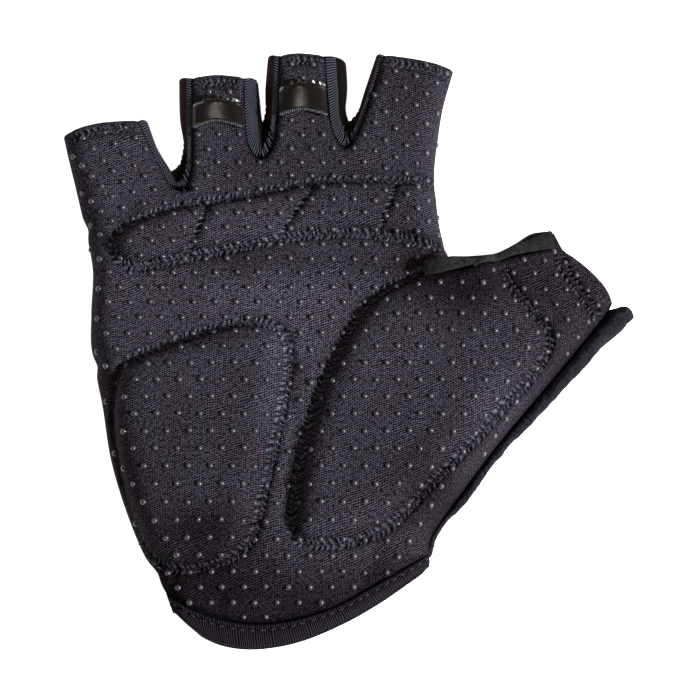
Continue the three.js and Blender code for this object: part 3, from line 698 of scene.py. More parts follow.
def palm_grids():
    steps = STEPS["palm"]
    fingers = finger_grids("palm")
    roots = root_line(fingers)
    slit_start = len(roots) - 1 - SLIT_SHARES
    places = shares_across(roots[: slit_start + 1])
    slit = along([GUSSET_TIP, THUMB_CROTCH], fractions(SLIT_SHARES)[1:] ** 0.75)
    middle = np.vstack([along([THUMB_LEVEL, GUSSET_TIP], places), slit])
    lower = fractions(steps["lower_rows"])
    upper = fractions(steps["upper_rows"])
    columns = fractions(steps["thumb"])
    cut = along([THUMB_SEAM[0], GUSSET_TIP], lower)
    wrist = along(WRIST_SEAM, places)
    hem = along(THUMB_HEM, eased(steps["lower_rows"]))
    outer = outer_stretch("thumb_level", "root", upper)
    return [
        patch(wrist, middle[: slit_start + 1], outer_stretch("wrist", "thumb_level", lower), cut),
        patch(middle, roots, outer, index_stretch("crotch", "root", upper)),
        patch(along(THUMB_SEAM, columns), along(GUSSET_SEAM, columns), cut, hem),
        *fingers,
    ]


def back_grids():
    fingers = finger_grids("back")
    roots = root_line(fingers)
    places = shares_across(roots)
    middle = along([THUMB_LEVEL, THUMB_CROTCH], places)
    lower = fractions(STEPS["back"]["lower_rows"])
    upper = fractions(STEPS["back"]["upper_rows"])
    wrist = along(WRIST_SEAM, places)
    cut = along([THUMB_SEAM[0], THUMB_CROTCH], lower)
    outer = outer_stretch("thumb_level", "root", upper)
    return [
        patch(wrist, middle, outer_stretch("wrist", "thumb_level", lower), cut),
        patch(middle, roots, outer, index_stretch("crotch", "root", upper)),
        *fingers,
    ]


# Meshes


def add_grid(shape, rows, maps=None):
    """A grid of faces in a bmesh, laid through rows of points, with three numbers kept on each."""
    count, wide = rows.shape[:2]
    layer = shape.verts.layers.float_vector.get("map")
    made = bmesh.ops.create_grid(shape, x_segments=wide - 1, y_segments=count - 1, size=0.5)
    for vertex in made["verts"]:
        column = round((vertex.co.x + 0.5) * (wide - 1))
        row = round((vertex.co.y + 0.5) * (count - 1))
        point = rows[row, column]
        vertex.co = (point[0], point[1], point[2] if len(point) > 2 else 0)
        if maps is not None:
            vertex[layer] = maps[row, column]


def grid_shape(grids, weld=0.01, maps=None):
    shape = bmesh.new()
    if maps is not None:
        shape.verts.layers.float_vector.new("map")
    for k, rows in enumerate(grids):
        add_grid(shape, rows, None if maps is None else maps[k])
    bmesh.ops.remove_doubles(shape, verts=shape.verts, dist=weld)
    return shape


def shell_shape(rows, maps, is_ring=False):
    """A closed shell from rows of points that go once round its section."""
    rows = np.array([*rows, rows[0]])
    maps = np.array([*maps, maps[0]])
    half = len(rows) // 2
    grids, kept = [rows], [maps]
    if not is_ring:
        for column in (0, -1):
            outer, inner = rows[: half + 1, column], rows[::-1][: half + 1, column]
            grids.append(np.array([outer, inner]))
            kept.append(np.array([maps[: half + 1, column]] * 2))
    shape = grid_shape(grids, 0.0005, kept)
    bmesh.ops.recalc_face_normals(shape, faces=shape.faces)
    return shape


def map_from_vertices(mesh):
    """Turns the numbers kept on the vertices into the UV map, and the third one into the material's index."""
    kept = np.zeros(len(mesh.vertices) * 3, np.float32)
    mesh.attributes["map"].data.foreach_get("vector", kept)
    mesh.attributes.remove(mesh.attributes["map"])
    kept = kept.reshape(-1, 3)
    add_cloth_map(mesh, kept[:, :2])
    for polygon in mesh.polygons:
        kinds = kept[list(polygon.vertices), 2].round().astype(int)
        polygon.material_index = int(np.bincount(kinds).argmax())


def plan_points(shape):
    return np.array([vertex.co[:2] for vertex in shape.verts])


def refine_near(shape, lines, reach):
    """Halves the faces of a flat grid near some lines."""
    shape.faces.ensure_lookup_table()
    middles = np.array([face.calc_center_median()[:2] for face in shape.faces])
    near = np.zeros(len(middles), bool)
    for line in lines:
        near |= measure(middles, line)[0] < reach
    edges = {edge for face, wanted in zip(shape.faces, near) if wanted for edge in face.edges}
    bmesh.ops.subdivide_edges(shape, edges=list(edges), cuts=1, use_grid_fill=True)


def plain_mesh(shape, name):
    mesh = bpy.data.meshes.new(name)
    shape.to_mesh(mesh)
    shape.free()
    return mesh


def mesh_from(shape, name):
    """The finished mesh of a bmesh in millimetres, smooth shaded and in metres."""
    bmesh.ops.transform(shape, matrix=Matrix.Scale(MM, 4), verts=shape.verts)
    mesh = plain_mesh(shape, name)
    mesh.polygons.foreach_set("use_smooth", np.ones(len(mesh.polygons), bool))
    return mesh


def move_plan(shape, points):
    for vertex, point in zip(shape.verts, points):
        vertex.co.xy = point


def set_heights(shape, heights):
    for vertex, z in zip(shape.verts, heights):
        vertex.co.z = z


def add_cloth_map(mesh, points=None):
    """A UV map in metres that follows the cloth: the given points in millimetres, or else the plan."""
    if points is None:
        points = np.array([vertex.co[:2] for vertex in mesh.vertices]) / MM
    layer = mesh.uv_layers.new(name="cloth")
    corners = np.zeros(len(mesh.loops), np.int32)
    mesh.loops.foreach_get("vertex_index", corners)
    layer.data.foreach_set("uv", (np.asarray(points)[corners] * MM).astype(np.float32).ravel())


def keep_on_vertices(mesh, name, values):
    """An attribute with one number, or three, for each vertex."""
    values = np.asarray(values, np.float32)
    kind, field = ("FLOAT", "value") if values.ndim == 1 else ("FLOAT_VECTOR", "vector")
    mesh.attributes.new(name, kind, "POINT").data.foreach_set(field, values.ravel())


def link_piece(name, mesh, finishes, nodes=()):
    """Adds a piece with its finishes, puts it under the body, and hides the parts of the CAD that it stands
    for.
    """
    piece = bpy.data.objects.new(name, mesh)
    bpy.context.scene.collection.objects.link(piece)
    for finish in finishes:
        mesh.materials.append(material_set()[finish])
    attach(piece, BODY)
    if nodes:
        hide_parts(*nodes)
    return piece


def thicken(piece, thickness, offset=-1.0):
    solid = piece.modifiers.new("thickness", "SOLIDIFY")
    solid.thickness = thickness * MM
    solid.offset = offset


def scattered(name, stamp, frames):
    """One mesh of many copies of a small mesh, each placed by its own 4 by 4 matrix."""
    count = len(stamp.vertices)
    local = np.ones((count, 4))
    coordinates = np.zeros(count * 3)
    stamp.vertices.foreach_get("co", coordinates)
    local[:, :3] = coordinates.reshape(-1, 3)
    placed = np.einsum("kij,vj->kvi", np.asarray(frames), local)[..., :3].reshape(-1, 3)
    faces = [tuple(polygon.vertices) for polygon in stamp.polygons]
    every = [tuple(corner + k * count for corner in face) for k in range(len(frames)) for face in faces]
    mesh = bpy.data.meshes.new(name)
    mesh.from_pydata(placed.tolist(), [], every)
    mesh.polygons.foreach_set("use_smooth", np.ones(len(mesh.polygons), bool))
    bpy.data.meshes.remove(stamp)
    return mesh


def tube_rows(centres, across, tall, sides, sideways):
    """Rows of points round a line, in rings of oval section that close at both ends."""
    turn = fractions(sides) * 2 * math.pi
    rings = []
    for centre, wide, high, way in zip(centres, across, tall, sideways):
        ring = np.zeros((sides + 1, 3))
        ring[:, :2] = centre[:2] + np.cos(turn)[:, None] * wide * way[:2]
        ring[:, 2] = centre[2] + np.sin(turn) * high
        rings.append(ring)
    ends = [np.repeat(centres[k][None], sides + 1, axis=0) for k in (0, -1)]
    return np.array([ends[0], *rings, ends[1]])


class Skin:
    """The outer face of a finished cloth, for placing dots and stitches on it."""

    def __init__(self, mesh):
        points = [vertex.co.copy() for vertex in mesh.vertices]
        self.tree = BVHTree.FromPolygons(points, [tuple(p.vertices) for p in mesh.polygons])

    def under(self, x, y):
        start = Vector((x * MM, y * MM, 0.08))
        place, normal, _, _ = self.tree.ray_cast(start, Vector((0, 0, -1)))
        return place, normal


# The outer faces that later pieces are laid on, by name
skins = {}


def frame_on(place, normal, ahead):
    """A matrix whose Z is the normal and whose X runs ahead along the surface."""
    up = normal.normalized()
    forward = (ahead - up * ahead.dot(up)).normalized()
    side = up.cross(forward)
    matrix = Matrix((forward, side, up)).transposed().to_4x4()
    matrix.translation = place
    return matrix


# Materials

# How cloth is tinted where its random mottle is warm, and where the painted shade and the less worn cloth of
# the palm are darker
WARM_TINT = (1.25, 0.92, 0.93)
UNWORN_AND_SHADE_TINT = (1.12, 0.92, 0.95)


class Nodes:
    """Adds nodes to a tree. A value may be a number, a colour or another node's socket."""

    def __init__(self, tree):
        self.tree = tree

    def feed(self, socket, value):
        if isinstance(value, bpy.types.NodeSocket):
            self.tree.links.new(value, socket)
        elif socket.type == "RGBA":
            socket.default_value = (*value[:3], 1)
        else:
            socket.default_value = value

    def feed_all(self, node, values):
        for name, value in values.items():
            self.feed(node.inputs[name], value)
        return node

    def add(self, kind, values=None, **settings):
        node = self.tree.nodes.new("ShaderNode" + kind)
        for name, value in settings.items():
            setattr(node, name, value)
        return self.feed_all(node, values or {})

    def maths(self, operation, *values, clamp=False):
        return self.add("Math", dict(enumerate(values)), operation=operation, use_clamp=clamp).outputs[0]

    def product(self, first, *others, clamp=False):
        for value in others[:-1]:
            first = self.maths("MULTIPLY", first, value)
        return self.maths("MULTIPLY", first, others[-1], clamp=clamp)

    def vectors(self, operation, *values, **named):
        return self.add("VectorMath", {**dict(enumerate(values)), **named}, operation=operation).outputs[0]

    def parts(self, vector):
        return self.add("SeparateXYZ", {0: vector}).outputs[:]

    def noise(self, vector, **values):
        return self.add("TexNoise", {"Vector": vector, **values}).outputs

    def contrast(self, value, gain, middle=0.5, clamp=False):
        """A noise spread about its middle, moved to another middle."""
        return self.maths("MULTIPLY_ADD", self.maths("SUBTRACT", value, 0.5), gain, middle, clamp=clamp)

    def mix(self, factor, first, second):
        return self.add("Mix", {0: factor, 6: first, 7: second}, data_type="RGBA").outputs[2]

    def valley(self, turns):
        """From 0 on the ridges of a wave to 1 in its valleys."""
        wave = self.maths("COSINE", self.product(turns, 2 * math.pi))
        return self.maths("MULTIPLY_ADD", wave, -0.5, 0.5)

    def attribute(self, name):
        return self.add("Attribute", attribute_name=name).outputs

    def cloth_map(self):
        return self.add("UVMap", uv_map="cloth").outputs[0]

    def object_place(self):
        return self.add("TexCoord").outputs["Object"]

    def group(self, make, vector, **values):
        node = self.add("Group", node_tree=make())
        return self.feed_all(node, {"Vector": vector, **values}).outputs

    def bump(self, shader, height, strength, distance):
        made = self.add("Bump", {"Strength": strength, "Distance": distance, "Height": height})
        self.feed(shader.inputs["Normal"], made.outputs[0])


def new_group(name, numbers, outputs):
    """A node group that takes a vector and some numbers, and puts out numbers."""
    tree = bpy.data.node_groups.new(name, "ShaderNodeTree")
    tree.interface.new_socket(name="Vector", in_out="INPUT", socket_type="NodeSocketVector")
    for socket, value in numbers.items():
        made = tree.interface.new_socket(name=socket, in_out="INPUT", socket_type="NodeSocketFloat")
        made.default_value = value
    for socket in outputs:
        tree.interface.new_socket(name=socket, in_out="OUTPUT", socket_type="NodeSocketFloat")
    return Nodes(tree), tree.nodes.new("NodeGroupInput").outputs, tree.nodes.new("NodeGroupOutput")


@cache
def knit_group():
    """Fine twilled knit: upright wales crossed by slanting courses. Height and shade."""
    nodes, given, result = new_group("Knit", {"Pitch": 0.0005, "Slant": 0.8}, ("Height", "Shade"))
    turns = nodes.vectors("SCALE", given["Vector"], Scale=nodes.maths("DIVIDE", 1.0, given["Pitch"]))
    wobble = nodes.noise(turns, Scale=0.03, Detail=2.0)
    shifted = nodes.vectors("MULTIPLY_ADD", wobble["Color"], (5.0, 9.0, 0), turns)
    uneven = nodes.noise(turns, Scale=0.4, Detail=2.0)
    across, upward, _ = nodes.parts(nodes.vectors("MULTIPLY_ADD", uneven["Color"], (0.9, 1.1, 0), shifted))
    between_courses = nodes.valley(nodes.maths("MULTIPLY_ADD", across, given["Slant"], upward))
    holes = nodes.product(nodes.valley(across), between_courses)
    lines = nodes.maths("MULTIPLY_ADD", between_courses, -0.45, 0.95)
    height = nodes.maths("MULTIPLY_ADD", holes, -0.9, lines)
    fuzz = nodes.noise(turns, Scale=0.75, Detail=3.0, Roughness=0.8)
    flecks = nodes.contrast(fuzz["Fac"], 3.3, 0.0)
    shade = nodes.maths("POWER", nodes.maths("ADD", height, flecks, clamp=True), 1.8)
    nodes.feed_all(result, {"Height": height, "Shade": shade})
    return nodes.tree


@cache
def stitched_group():
    """Puckers and needle holes along a sewn row, from turns, distance in millimetres and pull, with painted
    shade in the holes and in a broad band along the row, and painted highlights on the puckers between
    stitches.
    """
    nodes, given, result = new_group("Stitched row", {"Width": 0.42}, ("Height", "Shadow", "PaintedBeadHighlight"))
    turns, off, pull = nodes.parts(given["Vector"])
    uneven = nodes.noise(given["Vector"], Scale=0.85, Detail=2.0)["Fac"]
    turn = nodes.maths("COSINE", nodes.product(turns, 2 * math.pi))
    share = nodes.maths("DIVIDE", off, nodes.product(given["Width"], nodes.maths("ADD", uneven, 0.55)))
    squared = nodes.product(share, share)
    near = nodes.maths("EXPONENT", nodes.product(squared, -1.0))
    strength = nodes.maths("MULTIPLY_ADD", uneven, 2.2, -0.25, clamp=True)
    pulled = nodes.product(near, strength, pull)
    # Painted shade in the needle holes
    shadow = nodes.product(pulled, nodes.maths("MULTIPLY_ADD", turn, 0.55, 0.45), clamp=True)
    # Painted shade: a broad dark band along the row
    painted_seam_shade = nodes.product(nodes.maths("EXPONENT", nodes.product(squared, -0.12)), pull, 0.5)
    # Painted highlight on the puckers between stitches
    painted_bead_highlight = nodes.product(pulled, nodes.product(turn, -1.15), clamp=True)
    shade = nodes.maths("MAXIMUM", shadow, painted_seam_shade, clamp=True)
    nodes.feed_all(result, {"Height": nodes.product(shadow, -0.00035), "PaintedBeadHighlight": painted_bead_highlight, "Shadow": shade})
    return nodes.tree


@cache
def rib_group():
    """Ribs across a strip, by the first number of the vector. Height and shade."""
    nodes, given, result = new_group("Ribs", {"Pitch": 0.0006}, ("Height", "Shade"))
    turns = nodes.maths("DIVIDE", nodes.parts(given["Vector"])[0], given["Pitch"])
    ridge = nodes.product(nodes.maths("PINGPONG", turns, 0.5), 2.0)
    height = nodes.maths("SUBTRACT", 1.0, nodes.product(ridge, ridge))
    thread = nodes.noise(given["Vector"], Scale=2600.0, Detail=2.0)
    grain = nodes.contrast(thread["Fac"], 0.5, 0.0)
    shade = nodes.maths("MULTIPLY_ADD", nodes.maths("POWER", height, 4.5), 1.5, grain, clamp=True)
    nodes.feed_all(result, {"Height": height, "Shade": shade})
    return nodes.tree


@cache
def age_group():
    """Slow changes of colour over a cloth, and specks of lint."""
    nodes, given, result = new_group("Cloth age", {"Size": 0.008}, ("Mottle", "Lint"))
    scale = nodes.maths("DIVIDE", 1.0, given["Size"])
    mottle = nodes.noise(given["Vector"], Scale=scale, Detail=4.0, Roughness=0.6)
    spots = nodes.noise(given["Vector"], Scale=1400.0, Detail=1.0)
    lint = nodes.product(nodes.maths("SUBTRACT", spots["Fac"], 0.68, clamp=True), 6.0)
    nodes.feed_all(result, {"Mottle": nodes.contrast(mottle["Fac"], 2.0, clamp=True), "Lint": lint})
    return nodes.tree


def new_material(name, shader_values):
    material = bpy.data.materials.new(name)
    material.use_nodes = True
    nodes = Nodes(material.node_tree)
    return material, nodes, nodes.feed_all(nodes.tree.nodes["Principled BSDF"], shader_values)


def toned(colour, times):
    """A colour made darker or lighter."""
    return tuple(min(1.0, value * times) for value in colour[:3])


# Plain smooth cloth of the edges, also used as painted shade in seam lines and pleat valleys, and of the
# facings of the side strips: pitch, slant, depth and spread
PLAIN_WEAVE = (0.0004, 0.2, 0.00005, 0.5)


def cloth_material(name, colour, pitch, slant, depth, spread=1.0, stitched=False):
    """Knitted cloth: the knit is in the UV map, its age in object coordinates."""
    material, nodes, shader = new_material(name, {"Roughness": 0.8, "Specular IOR Level": 0.02})
    knit = nodes.group(knit_group, nodes.cloth_map(), Pitch=pitch, Slant=slant)
    age = nodes.group(age_group, nodes.object_place(), Size=0.011)
    warm = tuple(0.85 * a * b for a, b in zip(colour, WARM_TINT))
    dark = nodes.mix(age["Mottle"], toned(warm, 1 - 0.95 * spread), toned(colour, 1 - 0.93 * spread))
    light = nodes.mix(age["Mottle"], toned(warm, 1 + 3.2 * spread), toned(colour, 1 + 3.5 * spread))
    seen = nodes.mix(age["Lint"], nodes.mix(knit["Shade"], dark, light), toned(colour, 3.5))
    height = nodes.product(knit["Height"], depth)
    if stitched:
        sewn = nodes.group(stitched_group, nodes.attribute("stitch")["Vector"])
        # Painted shade at the stitches and along the seams, and painted highlights on the puckers
        seen = nodes.mix(sewn["Shadow"], seen, toned(colour, 0.1))
        seen = nodes.mix(sewn["PaintedBeadHighlight"], seen, toned(colour, 6.5))
        # Wear with painted light and shade, from the palm's vertex map, warm-tinted where it is dark
        lit_and_worn = nodes.attribute("wear_and_shade")["Fac"]
        lit_and_rubbed = nodes.vectors("SCALE", seen, Scale=lit_and_worn)
        unworn_and_shade_share = nodes.product(nodes.maths("SUBTRACT", 1.1, lit_and_worn, clamp=True), 1.6, clamp=True)
        seen = nodes.vectors("MULTIPLY", lit_and_rubbed, nodes.mix(unworn_and_shade_share, (1, 1, 1), UNWORN_AND_SHADE_TINT))
        height = nodes.maths("ADD", height, sewn["Height"])
    nodes.feed(shader.inputs["Base Color"], seen)
    nodes.bump(shader, height, 1.0, 1.0)
    return material


def ribbed_material(name, colour, pitch, depth=0.00018, roughness=0.7, specular=0.03):
    material, nodes, shader = new_material(name, {"Roughness": roughness, "Specular IOR Level": specular})
    ribs = nodes.group(rib_group, nodes.cloth_map(), Pitch=pitch)
    nodes.feed(shader.inputs["Base Color"], nodes.mix(ribs["Shade"], toned(colour, 0.03), toned(colour, 4.4)))
    nodes.bump(shader, ribs["Height"], 0.8, depth)
    return material


def fuzzy_material(name, colour, size, depth, sheen=0.0):
    """Brushed or towelled cloth: loops and fuzz in object coordinates."""
    values = {"Roughness": 0.95, "Sheen Weight": sheen, "Sheen Roughness": 0.5, "Specular IOR Level": 0.02}
    material, nodes, shader = new_material(name, values)
    place = nodes.object_place()
    age = nodes.group(age_group, place, Size=0.006)
    fuzz = nodes.noise(place, Scale=1 / size, Detail=5.0, Roughness=0.65)["Fac"]
    loops = nodes.add("TexVoronoi", {"Vector": place, "Scale": 0.7 / size}).outputs
    base = nodes.mix(nodes.contrast(fuzz, 2.2, clamp=True), toned(colour, 0.45), toned(colour, 1.9))
    aged = nodes.mix(nodes.product(age["Mottle"], 0.5), base, toned(colour, 0.6))
    nodes.feed(shader.inputs["Base Color"], aged)
    nodes.bump(shader, nodes.maths("SUBTRACT", fuzz, loops["Distance"]), 0.8, depth)
    return material


def smooth_material(name, colour, roughness, coat, speck=0.3, depth=0.00002):
    values = {"Roughness": roughness, "Coat Weight": coat, "Coat Roughness": 0.12}
    material, nodes, shader = new_material(name, values)
    mottle = nodes.group(age_group, nodes.object_place(), Size=0.002)["Mottle"]
    varied = nodes.mix(nodes.product(mottle, speck), colour, toned(colour, 0.4))
    rough = nodes.maths("MULTIPLY_ADD", mottle, 0.12, roughness - 0.05)
    nodes.feed_all(shader, {"Base Color": varied, "Roughness": rough})
    nodes.bump(shader, mottle, 0.4, depth)
    return material


@cache
def material_set():
    """All finishes of the glove, made once from the colours and sizes of the panel."""
    colours = bpy.context.scene.glove_colours
    sizes = bpy.context.scene.glove_sizes
    return {
        "grip_cloth": cloth_material(
            "Grip cloth", colours.cloth, sizes.knit_pitch, -0.4, 0.00016, stitched=True
        ),
        "knit_back": cloth_material("Back knit", colours.back, 0.0007, 1.0, 0.00015, 0.8),
        # The dark edge cloth: real on the gusset, painted shade in the strips' seam lines and pleat valleys and
        # by the tape's seam
        "lining_and_painted_shade": cloth_material("Plain edge cloth", colours.lining_and_painted_shade, *PLAIN_WEAVE),
        "facing": cloth_material("Brown facing", colours.facing, *PLAIN_WEAVE),
        # Lighter, redder copy of the facings with painted light, for the strip sides turned from the key lamp
        "facing_painted_light": cloth_material("Brown facing, inner side", colours.painted_light_facings, *PLAIN_WEAVE),
        "ribbed_cloth": ribbed_material("Ribbed strip", colours.ribs, sizes.rib_pitch),
        # Lighter copy of the ribs with painted light, for the strip sides turned from the key lamp
        "ribs_painted_light": ribbed_material("Ribbed strip, inner side", toned(colours.ribs, 1.7), sizes.rib_pitch),
        "binding": ribbed_material(
            "Wrist binding", colours.binding, sizes.binding_rib_pitch, 0.0002, 0.85, 0.02
        ),
        "satin": ribbed_material("Satin piping", colours.satin, 0.0005, 0.0001, 0.45, 0.3),
        "thread": ribbed_material("Thread", colours.thread, 0.0003, 0.0001, 0.6, 0.25),
        "suede": fuzzy_material("Brushed gusset", colours.suede, 0.0011, 0.0003, 0.02),
        "fleece": fuzzy_material("Fleece", colours.fleece, 0.0008, 0.0005, 0.04),
        "terry": fuzzy_material("Terry", toned(colours.fleece, 0.45), 0.0006, 0.0008),
        "foam": fuzzy_material("Foam", colours.foam, 0.0004, 0.0001),
        "gloss_tab": smooth_material("Coated tab", colours.tab, 0.3, 0.1, 0.35, 0.00008),
        "grip_dots": smooth_material("Silicone dots", colours.dots, 0.38, 0.12),
    }


# What a user would change


def colour_property(name, description, value):
    return FloatVectorProperty(
        name=name, description=description, default=value, subtype="COLOR", size=3, min=0, max=1
    )


def length_property(name, description, millimetres):
    return FloatProperty(
        name=name, description=description, default=millimetres * MM, unit="LENGTH", min=0.0001, max=0.02
    )


class GloveColours(bpy.types.PropertyGroup):
    cloth: colour_property("Grip cloth", "Palm cloth between the dots", (0.0146, 0.0149, 0.0196))
    back: colour_property("Back", "Knit cloth of the back of the hand", (0.012, 0.011, 0.014))
    # The facings colour serves the strip sides lit by the key lamp; the inner facings are a lighter, redder
    # copy with painted light for the sides turned from it
    facing: colour_property("Facings", "Brown smooth part of the side strips", (0.0026, 0.0019, 0.0014))
    painted_light_facings: colour_property("Inner facings", "Sides to the little finger", (0.0150, 0.0070, 0.0056))
    # The edge cloth colour is also used as painted shade along seams and in pleat valleys
    lining_and_painted_shade: colour_property("Edge cloth", "Plain cloth beside the side strips", (0.0016, 0.0014, 0.0018))
    ribs: colour_property("Side strips", "Ribbed cloth between the fingers", (0.0125, 0.0134, 0.0172))
    binding: colour_property("Binding", "Ribbed tape round the wrist", (0.0056, 0.0045, 0.0060))
    satin: colour_property("Piping", "Ribbed piping at the foot of the tabs", (0.016, 0.016, 0.018))
    suede: colour_property("Gusset", "Brushed band between thumb and index finger", (0.0158, 0.0160, 0.0155))
    fleece: colour_property("Fleece", "Towelling back of the thumb and its roll", (0.0135, 0.012, 0.0165))
    tab: colour_property("Tabs", "Coated pull tabs", (0.0034, 0.0025, 0.0020))
    dots: colour_property("Dots", "Silicone grip dots", (0.037, 0.034, 0.040))
    thread: colour_property("Thread", "Sewing thread", (0.012, 0.011, 0.015))
    foam: colour_property("Foam", "Pads under the palm cloth", (0.10, 0.10, 0.11))


class GloveSizes(bpy.types.PropertyGroup):
    dot_pitch: length_property("Dot pitch", "Distance between neighbouring grip dots in a row", 5.3)
    dot_radius: length_property("Dot radius", "Radius of a grip dot", 0.86)
    knit_pitch: length_property("Knit pitch", "Width of one wale of the palm cloth", 0.57)
    rib_pitch: length_property("Rib pitch", "Distance between ribs of the side strips", 0.62)
    binding_rib_pitch: length_property("Binding rib pitch", "Distance between ribs of the wrist tape", 0.55)
    thread_radius: length_property("Thread radius", "Radius of the sewing thread", 0.2)


# Pieces


class GLOVE_OT_palm(bpy.types.Operator):
    """Build the dotted palm cloth with its padded fields and sewn channels"""

    bl_idname = "glove.palm"
    bl_label = "Palm cloth"

    def execute(self, context):
        shape = grid_shape(palm_grids())
        refine_near(shape, [seam["line"] for seam in seams()], 2.6)
        points = plan_points(shape)
        set_heights(shape, palm_surface(points))
        move_plan(shape, notched(points))
        _, drop, way, _ = palm_base(points)
        mesh = mesh_from(shape, "palm_cloth")
        add_cloth_map(mesh, points + way * drop[:, None] * 0.8)
        keep_on_vertices(mesh, "stitch", stitch_map(points))
        keep_on_vertices(mesh, "wear_and_shade", wear_and_shade(points))
        piece = link_piece("palm_cloth", mesh, ["grip_cloth"], ["palm_panel"])
        skins["palm"] = Skin(mesh)
        thicken(piece, PALM_THICKNESS)
        return {"FINISHED"}


def stitch_map(points):
    """For each point the turns along the nearest seam row, the distance to that row and the seam's pull."""
    made = np.zeros((len(points), 3))
    made[:, 1] = 9
    for seam in seams():
        distance, place, side, _ = measure(points, seam["line"])
        for k, row in enumerate(dict.fromkeys(seam["rows"])):
            off = np.abs(distance * side - row)
            fade = smooth(place / 2) * smooth((seam["length"] - place) / 2)
            near = off < made[:, 1]
            turns = stitch_turns(place, k, distance * side - row)
            made = np.where(near[:, None], np.column_stack([turns, off, fade * seam["pull"] + 0 * off]), made)
    # Rims sewn to other pieces: no stitches, only the painted shade of the seam gap along them
    for line in [*palm_gaps, wrist_seam, thumb_seam, gusset_seam]:
        off = measure(points, line)[0]
        near = off < made[:, 1]
        made = np.where(near[:, None], np.column_stack([0 * off, off, 0.9 + 0 * off]), made)
    return made


def dot_rows():
    """Heights of the rows of dots at the middle of the palm."""
    rows = [DOT_ROW_PITCH[0]["y"]]
    while rows[-1] < DOT_ROW_PITCH[-1]["y"]:
        rows.append(rows[-1] + float(table_value(DOT_ROW_PITCH, "y", "pitch", rows[-1])))
    return rows


def row_height(y, x):
    """Height on the plan of a row of dots at some x: the rows tilt along the outer fingers."""
    fade = float(smooth((y - DOT_TILT_FADE["from_y"]) / (DOT_TILT_FADE["to_y"] - DOT_TILT_FADE["from_y"])))
    height = y
    for tilt in DOT_TILTS:
        beyond = max(0.0, (x - tilt["beyond"]) * tilt["side"])
        height -= tilt["slope"] * beyond * fade
    return height


class GLOVE_OT_dots(bpy.types.Operator):
    """Print the raised silicone dots in staggered rows over the palm cloth"""

    bl_idname = "glove.dots"
    bl_label = "Grip dots"

    def execute(self, context):
        sizes = context.scene.glove_sizes
        pitch = sizes.dot_pitch / MM
        kept = []
        for k, y in enumerate(dot_rows()):
            start = -80 + (k % 2) * pitch / 2
            for column in range(int(160 / pitch)):
                x = start + column * pitch
                jitter = Vector((noise.noise(Vector((x, y, 3))), noise.noise(Vector((x, y, 8)))))
                kept.append((x + DOT_STRAY * jitter.x, row_height(y, x) + DOT_STRAY * jitter.y))
        kept = np.array(kept)
        kept = kept[self.are_free(kept)]
        frames = []
        for x, y in kept:
            place, normal = skins["palm"].under(x, y)
            if place is None or normal.z < 0.3:
                continue
            scale = 0.9 + 0.2 * noise.noise(Vector((x * 1.7, y * 1.3, 0)))
            lowered = place - normal.normalized() * DOT_SUNK * MM
            frames.append(frame_on(lowered, normal, Vector((1, 0, 0))) @ Matrix.Scale(scale, 4))
        mesh = scattered("grip_dots", dome(sizes.dot_radius), frames)
        link_piece("grip_dots", mesh, ["grip_dots"])
        return {"FINISHED"}

    @staticmethod
    def are_free(spots):
        """Which spots are clear of the rims of the cloth and of the tabs."""
        free = np.ones(len(spots), bool)
        for rim in [*palm_hems(), *palm_gaps, gusset_seam, wrist_seam, thumb_seam]:
            free &= measure(spots, rim)[0] > DOT_FROM_RIM
        for tab in TABS:
            outline = np.vstack([tab["stitched"], tab["foot"][::-1]])
            free &= ~is_inside(spots, outline) & (measure(spots, closed(outline))[0] > DOT_FROM_TAB)
        return free


def dome(radius):
    """A low dome with a few dozen faces, standing on its rim."""
    shape = bmesh.new()
    bmesh.ops.create_uvsphere(shape, u_segments=12, v_segments=8, radius=radius)
    low = [vertex for vertex in shape.verts if vertex.co.z < -0.1 * radius]
    bmesh.ops.delete(shape, geom=low, context="VERTS")
    bmesh.ops.scale(shape, vec=(1.0, 1.0, 0.95), verts=shape.verts)
    return plain_mesh(shape, "dome")


def capsule(length, radius):
    """One stitch of thread: a long bead along X with pulled-down ends."""
    shape = bmesh.new()
    bmesh.ops.create_uvsphere(shape, u_segments=8, v_segments=6, radius=1)
    bmesh.ops.rotate(shape, matrix=Matrix.Rotation(math.pi / 2, 3, "Y"), verts=shape.verts)
    for vertex in shape.verts:
        bow = 0.5 * radius * vertex.co.x**2
        vertex.co = (vertex.co.x * length / 2, vertex.co.y * radius, vertex.co.z * radius - bow)
    return plain_mesh(shape, "stitch")


def stitch_frames(line, skin, sink, pitch):
    """Places of the stitches along a line on a skin."""
    length = run_lengths(line)[-1]
    count = max(1, int(length / pitch))
    frames = []
    for k in range(count):
        middle = (k + 0.5) * length / count
        back, spot, ahead = at_lengths(line, [middle - 0.4, middle, middle + 0.4])
        place, normal = skin.under(*spot)
        behind, _ = skin.under(*back)
        before, _ = skin.under(*ahead)
        if place is None or behind is None or before is None or normal.z < 0.2:
            continue
        twist = Matrix.Rotation(0.16 * noise.noise(Vector((spot[0], spot[1], 5))), 4, "Z")
        level = (behind + before + place) / 3
        frames.append(frame_on(level + normal.normalized() * sink * MM, normal, before - behind) @ twist)
    return frames


